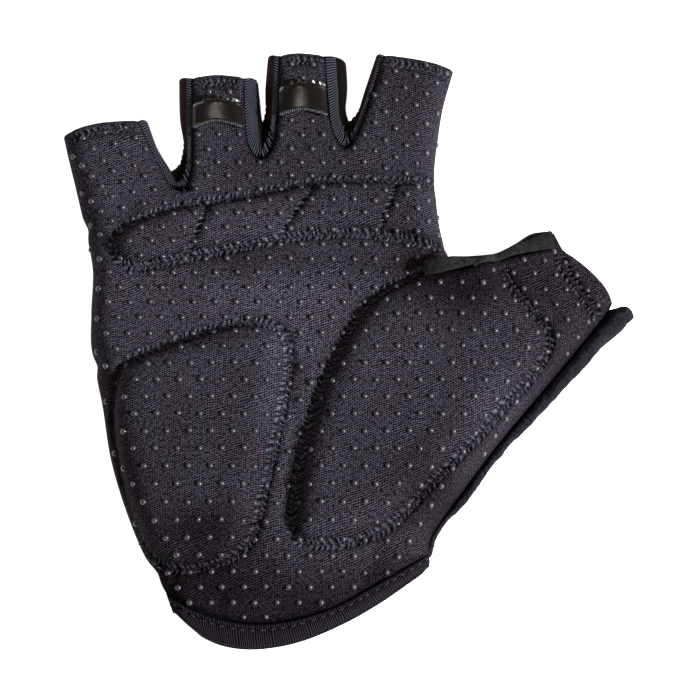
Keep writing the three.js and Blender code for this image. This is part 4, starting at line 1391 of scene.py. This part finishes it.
class GLOVE_OT_stitching(bpy.types.Operator):
    """Sew the rows of stitches round the pads, along the knuckle cells and along the hems"""

    bl_idname = "glove.stitching"
    bl_label = "Stitching"

    def execute(self, context):
        radius = context.scene.glove_sizes.thread_radius
        frames = []
        for seam in (each for each in seams() if each["name"] != "tab"):
            for row in sorted(set(seam["rows"])):
                line = beside(seam["line"], -row)
                frames += stitch_frames(line, skins["palm"], 0.03, STITCH_PITCH)
        mesh = scattered("palm_stitching", capsule(STITCH_LENGTH * MM, radius), frames)
        add_cloth_map(mesh)
        link_piece("palm_stitching", mesh, ["thread"])
        return {"FINISHED"}


class GLOVE_OT_back(bpy.types.Operator):
    """Build the knit back of the hand with the backs of the four fingers"""

    bl_idname = "glove.back"
    bl_label = "Back cloth"

    def execute(self, context):
        shape = grid_shape(back_grids())
        points = plan_points(shape)
        set_heights(shape, back_height(points) + 0.12 * (1 + waves(points, 9, 6)))
        move_plan(shape, notched(points))
        mesh = mesh_from(shape, "back_cloth")
        add_cloth_map(mesh, points)
        piece = link_piece("back_cloth", mesh, ["knit_back"], ["back_panel"])
        thicken(piece, BACK_THICKNESS, 1.0)
        return {"FINISHED"}


class GLOVE_OT_thumb_back(bpy.types.Operator):
    """Build the fleece back of the thumb and its rolled edge"""

    bl_idname = "glove.thumb_back"
    bl_label = "Fleece back of the thumb"

    def execute(self, context):
        columns = fractions(STEPS["back"]["thumb"])
        rows = eased(STEPS["back"]["lower_rows"])
        widths = table_value(FLEECE_EDGE, "along", "width", columns) - 1.5 * (1 - smooth(columns / 0.15))
        outline = beside(along(THUMB_SEAM, columns), widths)
        outline[0] = THUMB_BACK_CORNER
        outline[-1] = THUMB_BACK_HEM[0]
        grid = patch(
            outline,
            along(THUMB_BACK_EDGE, columns),
            along([outline[0], THUMB_BACK_EDGE[0]], rows),
            along(THUMB_BACK_HEM, rows),
        )
        shape = grid_shape([grid])
        points = plan_points(shape)
        set_heights(shape, back_height(points) + 0.15 * (1 + waves(points, 6, 7)))
        mesh = mesh_from(shape, "thumb_back")
        piece = link_piece("thumb_back", mesh, ["fleece"], ["thumb_back_panel"])
        thicken(piece, FLEECE_THICKNESS, 1.0)
        self.add_roll()
        return {"FINISHED"}

    @staticmethod
    def add_roll():
        """The roll along the outer seam, tapering to both ends and leaning ahead at its tip."""
        steps, sides = ROLL_STEPS
        places = fractions(steps)
        route = along([ROLL_START, *THUMB_SEAM[1:], ROLL_TIP], places)
        widths = table_value(FLEECE_EDGE, "along", "width", places)
        radii = np.maximum(0.6, widths / 2)
        radii = radii * np.clip((1.002 - places) * 40, 0.02, 1) ** 0.6 * np.sqrt(np.clip(places * 60, 0.1, 1))
        side = sideways_of(route)
        ahead = np.column_stack([-side[:, 1], side[:, 0]])
        lean = 0.42 * smooth((places - 0.82) / 0.18)[:, None]
        side = side + ahead * lean
        centres = np.zeros((steps + 1, 3))
        centres[:, :2] = route + side * (widths / 2 + 0.05)[:, None]
        centres[:, 2] = SIDE_SEAM_HEIGHT + 0.35
        rows = tube_rows(centres, radii + 0.15, 0.6 * radii + 0.5, sides, side)
        shape = grid_shape([rows])
        bmesh.ops.recalc_face_normals(shape, faces=shape.faces)
        shape.normal_update()
        for vertex in shape.verts:
            spot = vertex.co
            fluff = 0.3 * noise.noise(spot * 0.35) + 0.12 * noise.noise(spot * 2.3 + Vector((9, 4, 1)))
            vertex.co = spot + vertex.normal * fluff
        mesh = mesh_from(shape, "fleece_roll")
        inward = Vector((-0.8, 0.6, 0))
        for face in mesh.polygons:
            face.material_index = int(face.normal.dot(inward) > 0.06)
        piece = link_piece("fleece_roll", mesh, ["fleece", "terry"], ["thumb_back_panel"])


class GLOVE_OT_gusset(bpy.types.Operator):
    """Build the strip between the thumb and the index finger with its folded bands"""

    bl_idname = "glove.gusset"
    bl_label = "Thumb gusset"

    def execute(self, context):
        columns, rows = (fractions(steps) for steps in GUSSET_STEPS)
        seam = along(GUSSET_SEAM, lerp(0.05, 0.99, columns))
        top_z = palm_height(seam) - palm_rim_drop(seam) - 0.9
        foot = along([row["at"] for row in GUSSET_FOOT], columns)
        foot_x, foot_heights = zip(*[(row["at"][0], row["height"]) for row in GUSSET_FOOT])
        foot_z = np.interp(foot[:, 0], foot_x, foot_heights)
        high = np.column_stack([seam, top_z])
        low = np.column_stack([foot, foot_z])
        grid = np.array([lerp(low, high, t) for t in rows])
        shape = grid_shape([grid])
        bmesh.ops.recalc_face_normals(shape, faces=shape.faces)
        mesh = mesh_from(shape, "thumb_gusset_base")
        add_cloth_map(mesh)
        base = link_piece("thumb_gusset_base", mesh, ["lining_and_painted_shade"], ["thumb_gusset"])
        thicken(base, GUSSET_THICKNESS, 0.0)
        bands = [self.add_band(band) for band in GUSSET_BANDS]
        return {"FINISHED"}

    @staticmethod
    def add_band(band):
        """A crowned strip of brushed cloth between two lines, rounded at its inner end."""
        columns, levels = (fractions(steps) for steps in BAND_STEPS)
        low = along(band["low"], columns)
        high = along(band["high"], columns)
        low_z = palm_height(low) + lerp(*band["lift"], columns)
        high_z = low_z - lerp(*band["fall"], columns)
        ends = np.exp(-columns * 14)
        rows = []
        for t in levels:
            crown = 0.8 * math.sqrt(max(0.0, 1 - abs(2 * t - 1) ** 3))
            plan = lerp(low, high, t)
            plan[:, 0] -= band["round"] * math.sqrt(max(0.0, 1 - (2 * t - 1) ** 2)) * ends
            height = lerp(low_z, high_z, t) + crown * (1 - 0.6 * ends)
            rows.append(np.column_stack([plan, height]))
        shape = grid_shape([np.array(rows)])
        for vertex in shape.verts:
            vertex.co.z += 0.3 * noise.noise(vertex.co * 0.25) + 0.06 * noise.noise(vertex.co * 1.2)
        mesh = mesh_from(shape, band["name"])
        piece = link_piece(band["name"], mesh, ["suede"])
        thicken(piece, GUSSET_THICKNESS)
        return piece


class GLOVE_OT_side_strips(bpy.types.Operator):
    """Build the ribbed strips between the fingers, pleated round each crotch"""

    bl_idname = "glove.side_strips"
    bl_label = "Side strips"

    def execute(self, context):
        pitch = context.scene.glove_sizes.rib_pitch / MM
        finishes = ("ribbed_cloth", "ribs_painted_light", "lining_and_painted_shade", "facing", "facing_painted_light")
        for gap in FINGER_GAPS:
            name = "fourchette_" + gap["name"]
            rows, maps, length = self.section(gap, pitch)
            shape = shell_shape(rows, maps)
            mesh = mesh_from(shape, name)
            map_from_vertices(mesh)
            piece = link_piece(name + "_cloth", mesh, finishes, [name])
        return {"FINISHED"}

    @staticmethod
    def section(gap, pitch):
        """Rows of points from the palm seam down the outer face to the back, and up the inner face again."""
        columns, levels = (fractions(steps) for steps in STRIP_STEPS)
        top = stretch(gap["palm"], 0, 2 * CROTCH_AT, columns)
        foot = stretch(gap["back"], 0, 2 * CROTCH_AT, columns)
        middle = lerp(top, foot, 0.5)
        run = run_lengths(middle)
        side = sideways_of(middle)
        ahead = np.column_stack([-side[:, 1], side[:, 0]])
        top_z = palm_height(top) - 1.0
        from_end = np.minimum(run, run[-1] - run)
        corner = 0.5 * bell(from_end, 1.6) * np.where(columns < 0.5, 1, -1)
        centre = run - run[-1] * np.argmin(np.abs(columns - 0.5)) / (len(columns) - 1)
        pleated = bell(centre, PLEAT_REACH)
        limit = np.where(columns < 0.5, 1 - gap["smooth_left"], 1 - gap["smooth_right"])
        rows, maps = [], []
        for face, shares in enumerate((levels, levels[::-1])):
            for s in shares:
                arc = s * math.pi / 2
                over = lerp(s, math.sin(arc), 0.7)
                height = lerp(BACK_THICKNESS + 0.1, top_z, lerp(1 - s, math.cos(arc), 0.7))
                welt = 0.35 * bell(s, 0.09, 0.13) - 0.4 * bell(s, 0.05, 0.02)
                belly = 0.55 * math.sin(math.pi * s) + welt
                fold = np.cos(2 * math.pi * centre / PLEAT_PITCH)
                pleat = PLEAT_DEPTH * pleated * math.sin(math.pi * min(1, s * 1.1)) * fold
                slant = gap["slant"] * s * (columns < 0.5)
                phase = run / pitch + slant
                rib = 0.11 * np.cos(2 * math.pi * phase) * smooth(s * 12) * (1 - 0.6 * pleated)
                # The seam row and the pleat valleys: flat ribs, and the dark edge cloth as painted shade
                in_painted_shade = (s < 0.06) | (fold * pleated < -0.5)
                plain = (s > limit) | in_painted_shade
                rib = np.where(plain, 0.02 * rib, rib)
                out = belly + pleat + rib if face == 0 else belly + pleat - 0.8
                plan = lerp(top, foot, over) - side * out[:, None]
                plan = plan + ahead * (corner * (1 - math.cos(arc)))[:, None]
                lift = 0.3 * rib + 0.5 * pleat * (1 - s) if face == 0 else -0.6 * math.cos(arc)
                rows.append(np.column_stack([plan, height + lift]))
                # Past the crotch, on the sides turned from the key lamp, the ribs and facings take their copies
                # with painted light; the seam row and pleat valleys take the dark edge cloth as painted shade
                kind = np.where(in_painted_shade, 2, 3 * (plain | (face == 1)) + (centre > 2.5))
                maps.append(np.column_stack([phase * pitch, np.full(len(columns), s * 11.0), kind]))
        return rows, maps, float(run[-1]) * MM


class GLOVE_OT_binding(bpy.types.Operator):
    """Build the ribbed tape folded over the wrist edge"""

    bl_idname = "glove.binding"
    bl_label = "Wrist binding"

    def execute(self, context):
        pitch = context.scene.glove_sizes.binding_rib_pitch / MM
        seam, edge = self.mouth()
        middle = lerp(seam, edge, 0.5)
        around = run_lengths(middle)
        wander = 0.35 * np.sin(around * 1.1) * np.sin(around * 0.37) + 0.08 * np.sin(around * 2.9)
        wander *= smooth(around / 3) * smooth((around[-1] - around) / 3)
        phase = around / around[-1] * round(around[-1] / pitch) + wander
        outward = edge - seam
        width = np.linalg.norm(outward, axis=1)
        outward /= width[:, None]
        ahead = np.gradient(middle, axis=0)
        ahead[0] = ahead[-1] = middle[1] - middle[-2]
        normal = np.cross(outward, ahead)
        normal /= np.linalg.norm(normal, axis=1)[:, None]
        uneven = 0.8 + 0.4 * np.sin(around * 0.8 + 2 * np.sin(around * 0.31))
        rib = 0.07 * np.cos(2 * math.pi * phase) * uneven
        pucker = 0.35 * np.cos(2 * math.pi * around / 1.1 + 2 * np.sin(around * 0.9))
        to_fold = outward * (width - BINDING_RADIUS)[:, None]
        rows, maps = [], []
        for u in fractions(BINDING_STEPS["face"]):
            offset = -0.9 * bell(u, 0.06) - 0.5 * bell(u, 0.05, 0.34)
            offset += 0.35 * bell(u, 0.1, 0.18) * (1 + pucker)
            offset += 0.6 * math.sin(math.pi * max(0.0, (u - 0.34) / 0.66)) + rib * smooth(u * 3)
            offset *= 0.15 + 0.85 * np.abs(normal[:, 2])
            rows.append(seam + to_fold * u + normal * np.reshape(offset, (-1, 1)))
            maps.append(u)
        for turn in fractions(BINDING_STEPS["fold"])[1:-1] * math.pi:
            centre = seam + to_fold - normal * BINDING_RADIUS
            round_edge = outward * math.sin(turn) + normal * math.cos(turn)
            rows.append(centre + round_edge * (BINDING_RADIUS + rib)[:, None])
            maps.append(1 + turn)
        for u in fractions(BINDING_STEPS["inner_face"])[::-1]:
            rows.append(seam + to_fold * u - normal * 2 * BINDING_RADIUS)
            maps.append(6 - u)
        for row in rows:
            row[:, 2] = np.maximum(row[:, 2], 0.02)
        flat = np.ones(len(phase))
        # The rows of the tape beside its seam take the dark edge cloth, as painted shade of the seam line
        kept = [np.column_stack([phase * pitch, flat * v * 5.0, flat * (v < 0.1)]) for v in maps]
        mesh = mesh_from(shell_shape(rows, kept, is_ring=True), "wrist_binding_tape")
        map_from_vertices(mesh)
        piece = link_piece("wrist_binding_tape", mesh, ["binding", "lining_and_painted_shade"], ["wrist_binding"])
        self.add_stitches(seam, edge, normal)
        return {"FINISHED"}

    @staticmethod
    def mouth():
        """The seam and the free edge of the tape, once round the wrist: over the palm, then back."""
        across = fractions(BINDING_STEPS["around"])
        eased_across = lerp(across, 0.5 - 0.5 * np.cos(math.pi * across), 0.8)
        stations = np.array([(*row["seam"], *row["edge"]) for row in WRIST_STATIONS], float)
        both = stretch(stations, 0, len(stations) - 1, eased_across)
        seam, edge = both[:, :2], both[:, 2:]
        drops = [row["drop"] for row in WRIST_STATIONS]
        drop = np.interp(eased_across, fractions(len(drops) - 1), drops)
        palm_z = palm_height(seam)
        back_z = back_height(seam) + 0.1
        palm_z[[0, -1]] = back_z[[0, -1]] = SIDE_SEAM_HEIGHT
        seams_3d = [np.column_stack([seam, palm_z]), np.column_stack([seam, back_z])[::-1][1:]]
        rim_z = palm_z - drop * (palm_z - SIDE_SEAM_HEIGHT) / 4
        edges_3d = [np.column_stack([edge, rim_z]), np.column_stack([edge, back_z])[::-1][1:]]
        return np.vstack(seams_3d), np.vstack(edges_3d)

    @staticmethod
    def add_stitches(seam, edge, normal):
        line = lerp(seam, edge, BINDING_STITCH_SHARE)[: len(seam) // 2]
        length = run_lengths(line)[-1]
        count = int(length / BINDING_STITCH_PITCH)
        frames = []
        for k in range(1, count):
            shift = noise.noise(Vector((k * 0.7, 0, 0)))
            middle = (k + 0.3 * shift) * length / count
            places = at_lengths(line, [middle - 0.5, middle, middle + 0.5])
            back, spot, ahead = (Vector(place * MM) for place in places)
            near = int(np.argmin(np.linalg.norm(line * MM - np.array(spot), axis=1)))
            up = Vector(normal[near])
            turned = (ahead - back) + up.cross(ahead - back) * 0.7 * shift
            sunk = (0.05 - 0.25 * abs(noise.noise(Vector((k * 0.9, 5, 0))))) * MM
            frames.append(frame_on(spot + up * sunk, up, turned))
        radius = bpy.context.scene.glove_sizes.thread_radius
        mesh = scattered("binding_stitching", capsule(BINDING_STITCH_LENGTH * MM, radius), frames)
        add_cloth_map(mesh)
        link_piece("binding_stitching", mesh, ["thread"])


class GLOVE_OT_pads(bpy.types.Operator):
    """Build the foam pads that fill the raised fields of the palm cloth"""

    bl_idname = "glove.pads"
    bl_label = "Foam pads"

    def execute(self, context):
        for name, key in (("outer_heel_pad", "heel"), ("thumb_pad", "thumb")):
            sewn = outline_stretch(PADS[key]["outline"], PADS[key]["stitched"] - 1)
            self.add_pad(name, at_lengths(sewn, fractions(PAD_STEPS[0]) * run_lengths(sewn)[-1]))
        for k, outline in enumerate(self.knuckle_cells()):
            self.add_pad(f"knuckle_pad_{k + 1}", outline)
        return {"FINISHED"}

    @staticmethod
    def knuckle_cells():
        """The outlines of the four knuckle pads: leaning ovals inside their CAD boxes."""
        cells = []
        for k in range(4):
            low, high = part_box(f"knuckle_pad_{k + 1}")
            middle = (low + high) / 2 / MM
            half = (high - low) / 2 / MM
            turn = fractions(48)[:-1] * 2 * math.pi
            lean = 0.35 * np.sin(turn) * half.y
            across = np.sign(np.cos(turn)) * np.abs(np.cos(turn)) ** 0.6 * 0.75 * half.x + lean
            up = np.sign(np.sin(turn)) * np.abs(np.sin(turn)) ** 0.6 * (half.y - 1.2)
            cells.append(np.column_stack([middle.x + across, middle.y + up]))
        return cells

    @staticmethod
    def add_pad(name, outline):
        """A crowned sheet of foam that keeps clear of its seam."""
        centre = outline.mean(0)
        shares = np.concatenate([[0], np.sqrt(fractions(PAD_STEPS[1])[1:])])
        reach = 1 - PAD_INSET / np.linalg.norm(outline - centre, axis=1).min()
        ring = closed(centre + (outline - centre) * reach)
        rows = np.array([lerp(centre, ring, share) for share in shares])
        shape = grid_shape([rows], weld=0.001)
        bmesh.ops.recalc_face_normals(shape, faces=shape.faces)
        points = plan_points(shape)
        depth = measure(points, ring)[0]
        crown = np.sqrt(np.clip(1 - (1 - np.clip(depth / 4.0, 0, 1)) ** 2, 0, 1))
        top = palm_base(points)[0] - PALM_THICKNESS - 1.6 + 0.8 * pad_rise(points)
        middle = palm_base(points)[0] - PALM_THICKNESS - 2.2
        set_heights(shape, lerp(middle, top, crown))
        made = bmesh.ops.extrude_face_region(shape, geom=list(shape.faces))
        for item in made["geom"]:
            if isinstance(item, bmesh.types.BMVert):
                item.co.z -= PAD_THICKNESS
        bmesh.ops.recalc_face_normals(shape, faces=shape.faces)
        mesh = mesh_from(shape, name + "_foam")
        piece = link_piece(name + "_foam", mesh, ["foam"], [name])


class GLOVE_OT_tabs(bpy.types.Operator):
    """Build the coated pull tabs and the piping along the foot of each"""

    bl_idname = "glove.tabs"
    bl_label = "Pull tabs"

    def execute(self, context):
        for tab in TABS:
            name = tab["name"]
            columns, rows = (fractions(steps) for steps in TAB_STEPS)
            top, foot = along(tab["top"], columns), along(tab["foot"], columns)
            grid = patch(foot, top, along([foot[0], top[0]], rows), along([foot[-1], top[-1]], rows))
            shape = grid_shape([grid])
            points = plan_points(shape)
            edge = np.minimum(measure(points, grid[:, 0])[0], measure(points, grid[:, -1])[0])
            high = measure(points, top)[0]
            gathers = 0.55 * waves(points, 1.1, 6) * bell(high, 1.4)
            pulled = -0.4 * bell(high, 0.5, 0.8)
            across = edge / edge.max()
            lift = -0.1 + 2.0 * (1 - (1 - across) ** 2.3) + 0.12 * waves(points, 4, 4) + gathers + pulled
            set_heights(shape, palm_height(points) + lift - 0.15 * bell(edge, 0.6))
            for rim in shape.edges:
                rim.smooth = not rim.is_boundary
            mesh = mesh_from(shape, "pull_tab_" + name)
            nodes = ["pull_tab_" + name]
            piece = link_piece(f"pull_tab_{name}_cloth", mesh, ["gloss_tab"], nodes)
            thicken(piece, TAB_THICKNESS)
            piping = self.add_piping(tab)
        return {"FINISHED"}

    @staticmethod
    def add_piping(tab):
        """A ribbed cord along the foot of a tab."""
        steps, sides = PIPING_STEPS
        route = beside(along(tab["foot"], fractions(steps)), 0.35)
        centres = np.column_stack([route, palm_height(route) + 0.9])
        run = run_lengths(route)
        ends = np.sqrt(np.clip(np.minimum(run, run[-1] - run) / 0.6, 0.05, 1))
        rib = 1 + 0.08 * np.cos(2 * math.pi * run / 0.4)
        rows = tube_rows(centres, 0.48 * ends * rib, 0.5 * ends * rib, sides, sideways_of(route))
        shape = grid_shape([rows], weld=0.001)
        bmesh.ops.recalc_face_normals(shape, faces=shape.faces)
        name = "tab_edge_" + tab["name"]
        mesh = mesh_from(shape, name)
        add_cloth_map(mesh)
        return link_piece(name + "_piping", mesh, ["satin"], [name])


class GLOVE_OT_stage(bpy.types.Operator):
    """Set up the pale floor, the soft studio lights and the camera"""

    bl_idname = "glove.stage"
    bl_label = "Floor, lights and camera"

    def execute(self, context):
        scene = context.scene
        self.add_floor()
        world = bpy.data.worlds.new("Studio")
        world.use_nodes = True
        Nodes(world.node_tree).feed_all(world.node_tree.nodes["Background"], STUDIO_LIGHT)
        scene.world = world
        scene.view_settings.view_transform = "Standard"
        for lamp in LAMPS:
            self.add_light(**lamp)
        camera = bpy.data.cameras.new("Camera")
        camera.sensor_width = SENSOR_WIDTH
        camera.lens = FOCAL_PIXELS / PHOTO_SIZE * SENSOR_WIDTH
        camera.clip_start = 0.01
        seen = bpy.data.objects.new("Camera", camera)
        away = Vector((0, -math.sin(CAMERA_TILT), math.cos(CAMERA_TILT))) * CAMERA_DISTANCE
        seen.location = (Vector(CAMERA_AIM) + away) * MM
        seen.rotation_euler = (CAMERA_TILT, 0, 0)
        scene.collection.objects.link(seen)
        scene.camera = seen
        return {"FINISHED"}

    @staticmethod
    def add_floor():
        shape = bmesh.new()
        bmesh.ops.create_grid(shape, x_segments=4, y_segments=4, size=1.5)
        mesh = plain_mesh(shape, "floor")
        floor = bpy.data.objects.new("floor", mesh)
        bpy.context.scene.collection.objects.link(floor)
        values = {
            "Roughness": 0.9,
            "Specular IOR Level": 0.1,
            "Emission Color": (1, 1, 1),
            "Emission Strength": 0.98,
        }
        material, nodes, shader = new_material("Pale floor", values)
        mottle = nodes.group(age_group, nodes.object_place(), Size=0.05)["Mottle"]
        nodes.feed(shader.inputs["Base Color"], nodes.mix(mottle, (0.90, 0.90, 0.90), (0.92, 0.92, 0.92)))
        mesh.materials.append(material)

    @staticmethod
    def add_light(name, direction, distance, size, power, colour):
        light = bpy.data.lights.new(name, "AREA")
        light.size = size
        light.energy = power
        light.color = colour
        lamp = bpy.data.objects.new(name, light)
        way = Vector(direction).normalized()
        lamp.location = way * distance
        lamp.rotation_euler = way.to_track_quat("Z", "Y").to_euler()
        bpy.context.scene.collection.objects.link(lamp)


OPERATORS = (
    GLOVE_OT_stage,
    GLOVE_OT_palm,
    GLOVE_OT_dots,
    GLOVE_OT_stitching,
    GLOVE_OT_back,
    GLOVE_OT_thumb_back,
    GLOVE_OT_gusset,
    GLOVE_OT_side_strips,
    GLOVE_OT_binding,
    GLOVE_OT_pads,
    GLOVE_OT_tabs,
)


class GLOVE_PT_panel(bpy.types.Panel):
    """Lists the steps that build the glove"""

    bl_label = "Short-finger glove"
    bl_idname = "GLOVE_PT_panel"
    bl_space_type = "VIEW_3D"
    bl_region_type = "UI"
    bl_category = "Glove"

    def draw(self, context):
        layout = self.layout
        for settings in (context.scene.glove_sizes, context.scene.glove_colours):
            box = layout.box()
            for name in settings.bl_rna.properties.keys():
                if name not in {"rna_type", "name"}:
                    box.prop(settings, name)
        for operator in OPERATORS:
            layout.operator(operator.bl_idname)


CLASSES = (GloveColours, GloveSizes, *OPERATORS, GLOVE_PT_panel)


def register():
    for made in CLASSES:
        bpy.utils.register_class(made)
    bpy.types.Scene.glove_colours = PointerProperty(type=GloveColours)
    bpy.types.Scene.glove_sizes = PointerProperty(type=GloveSizes)


def unregister():
    del bpy.types.Scene.glove_sizes
    del bpy.types.Scene.glove_colours
    for made in reversed(CLASSES):
        bpy.utils.unregister_class(made)


def main():
    register()
    for operator in OPERATORS:
        group_name, name = operator.bl_idname.split(".")
        getattr(getattr(bpy.ops, group_name), name)()


if __name__ == "__main__":
    main()
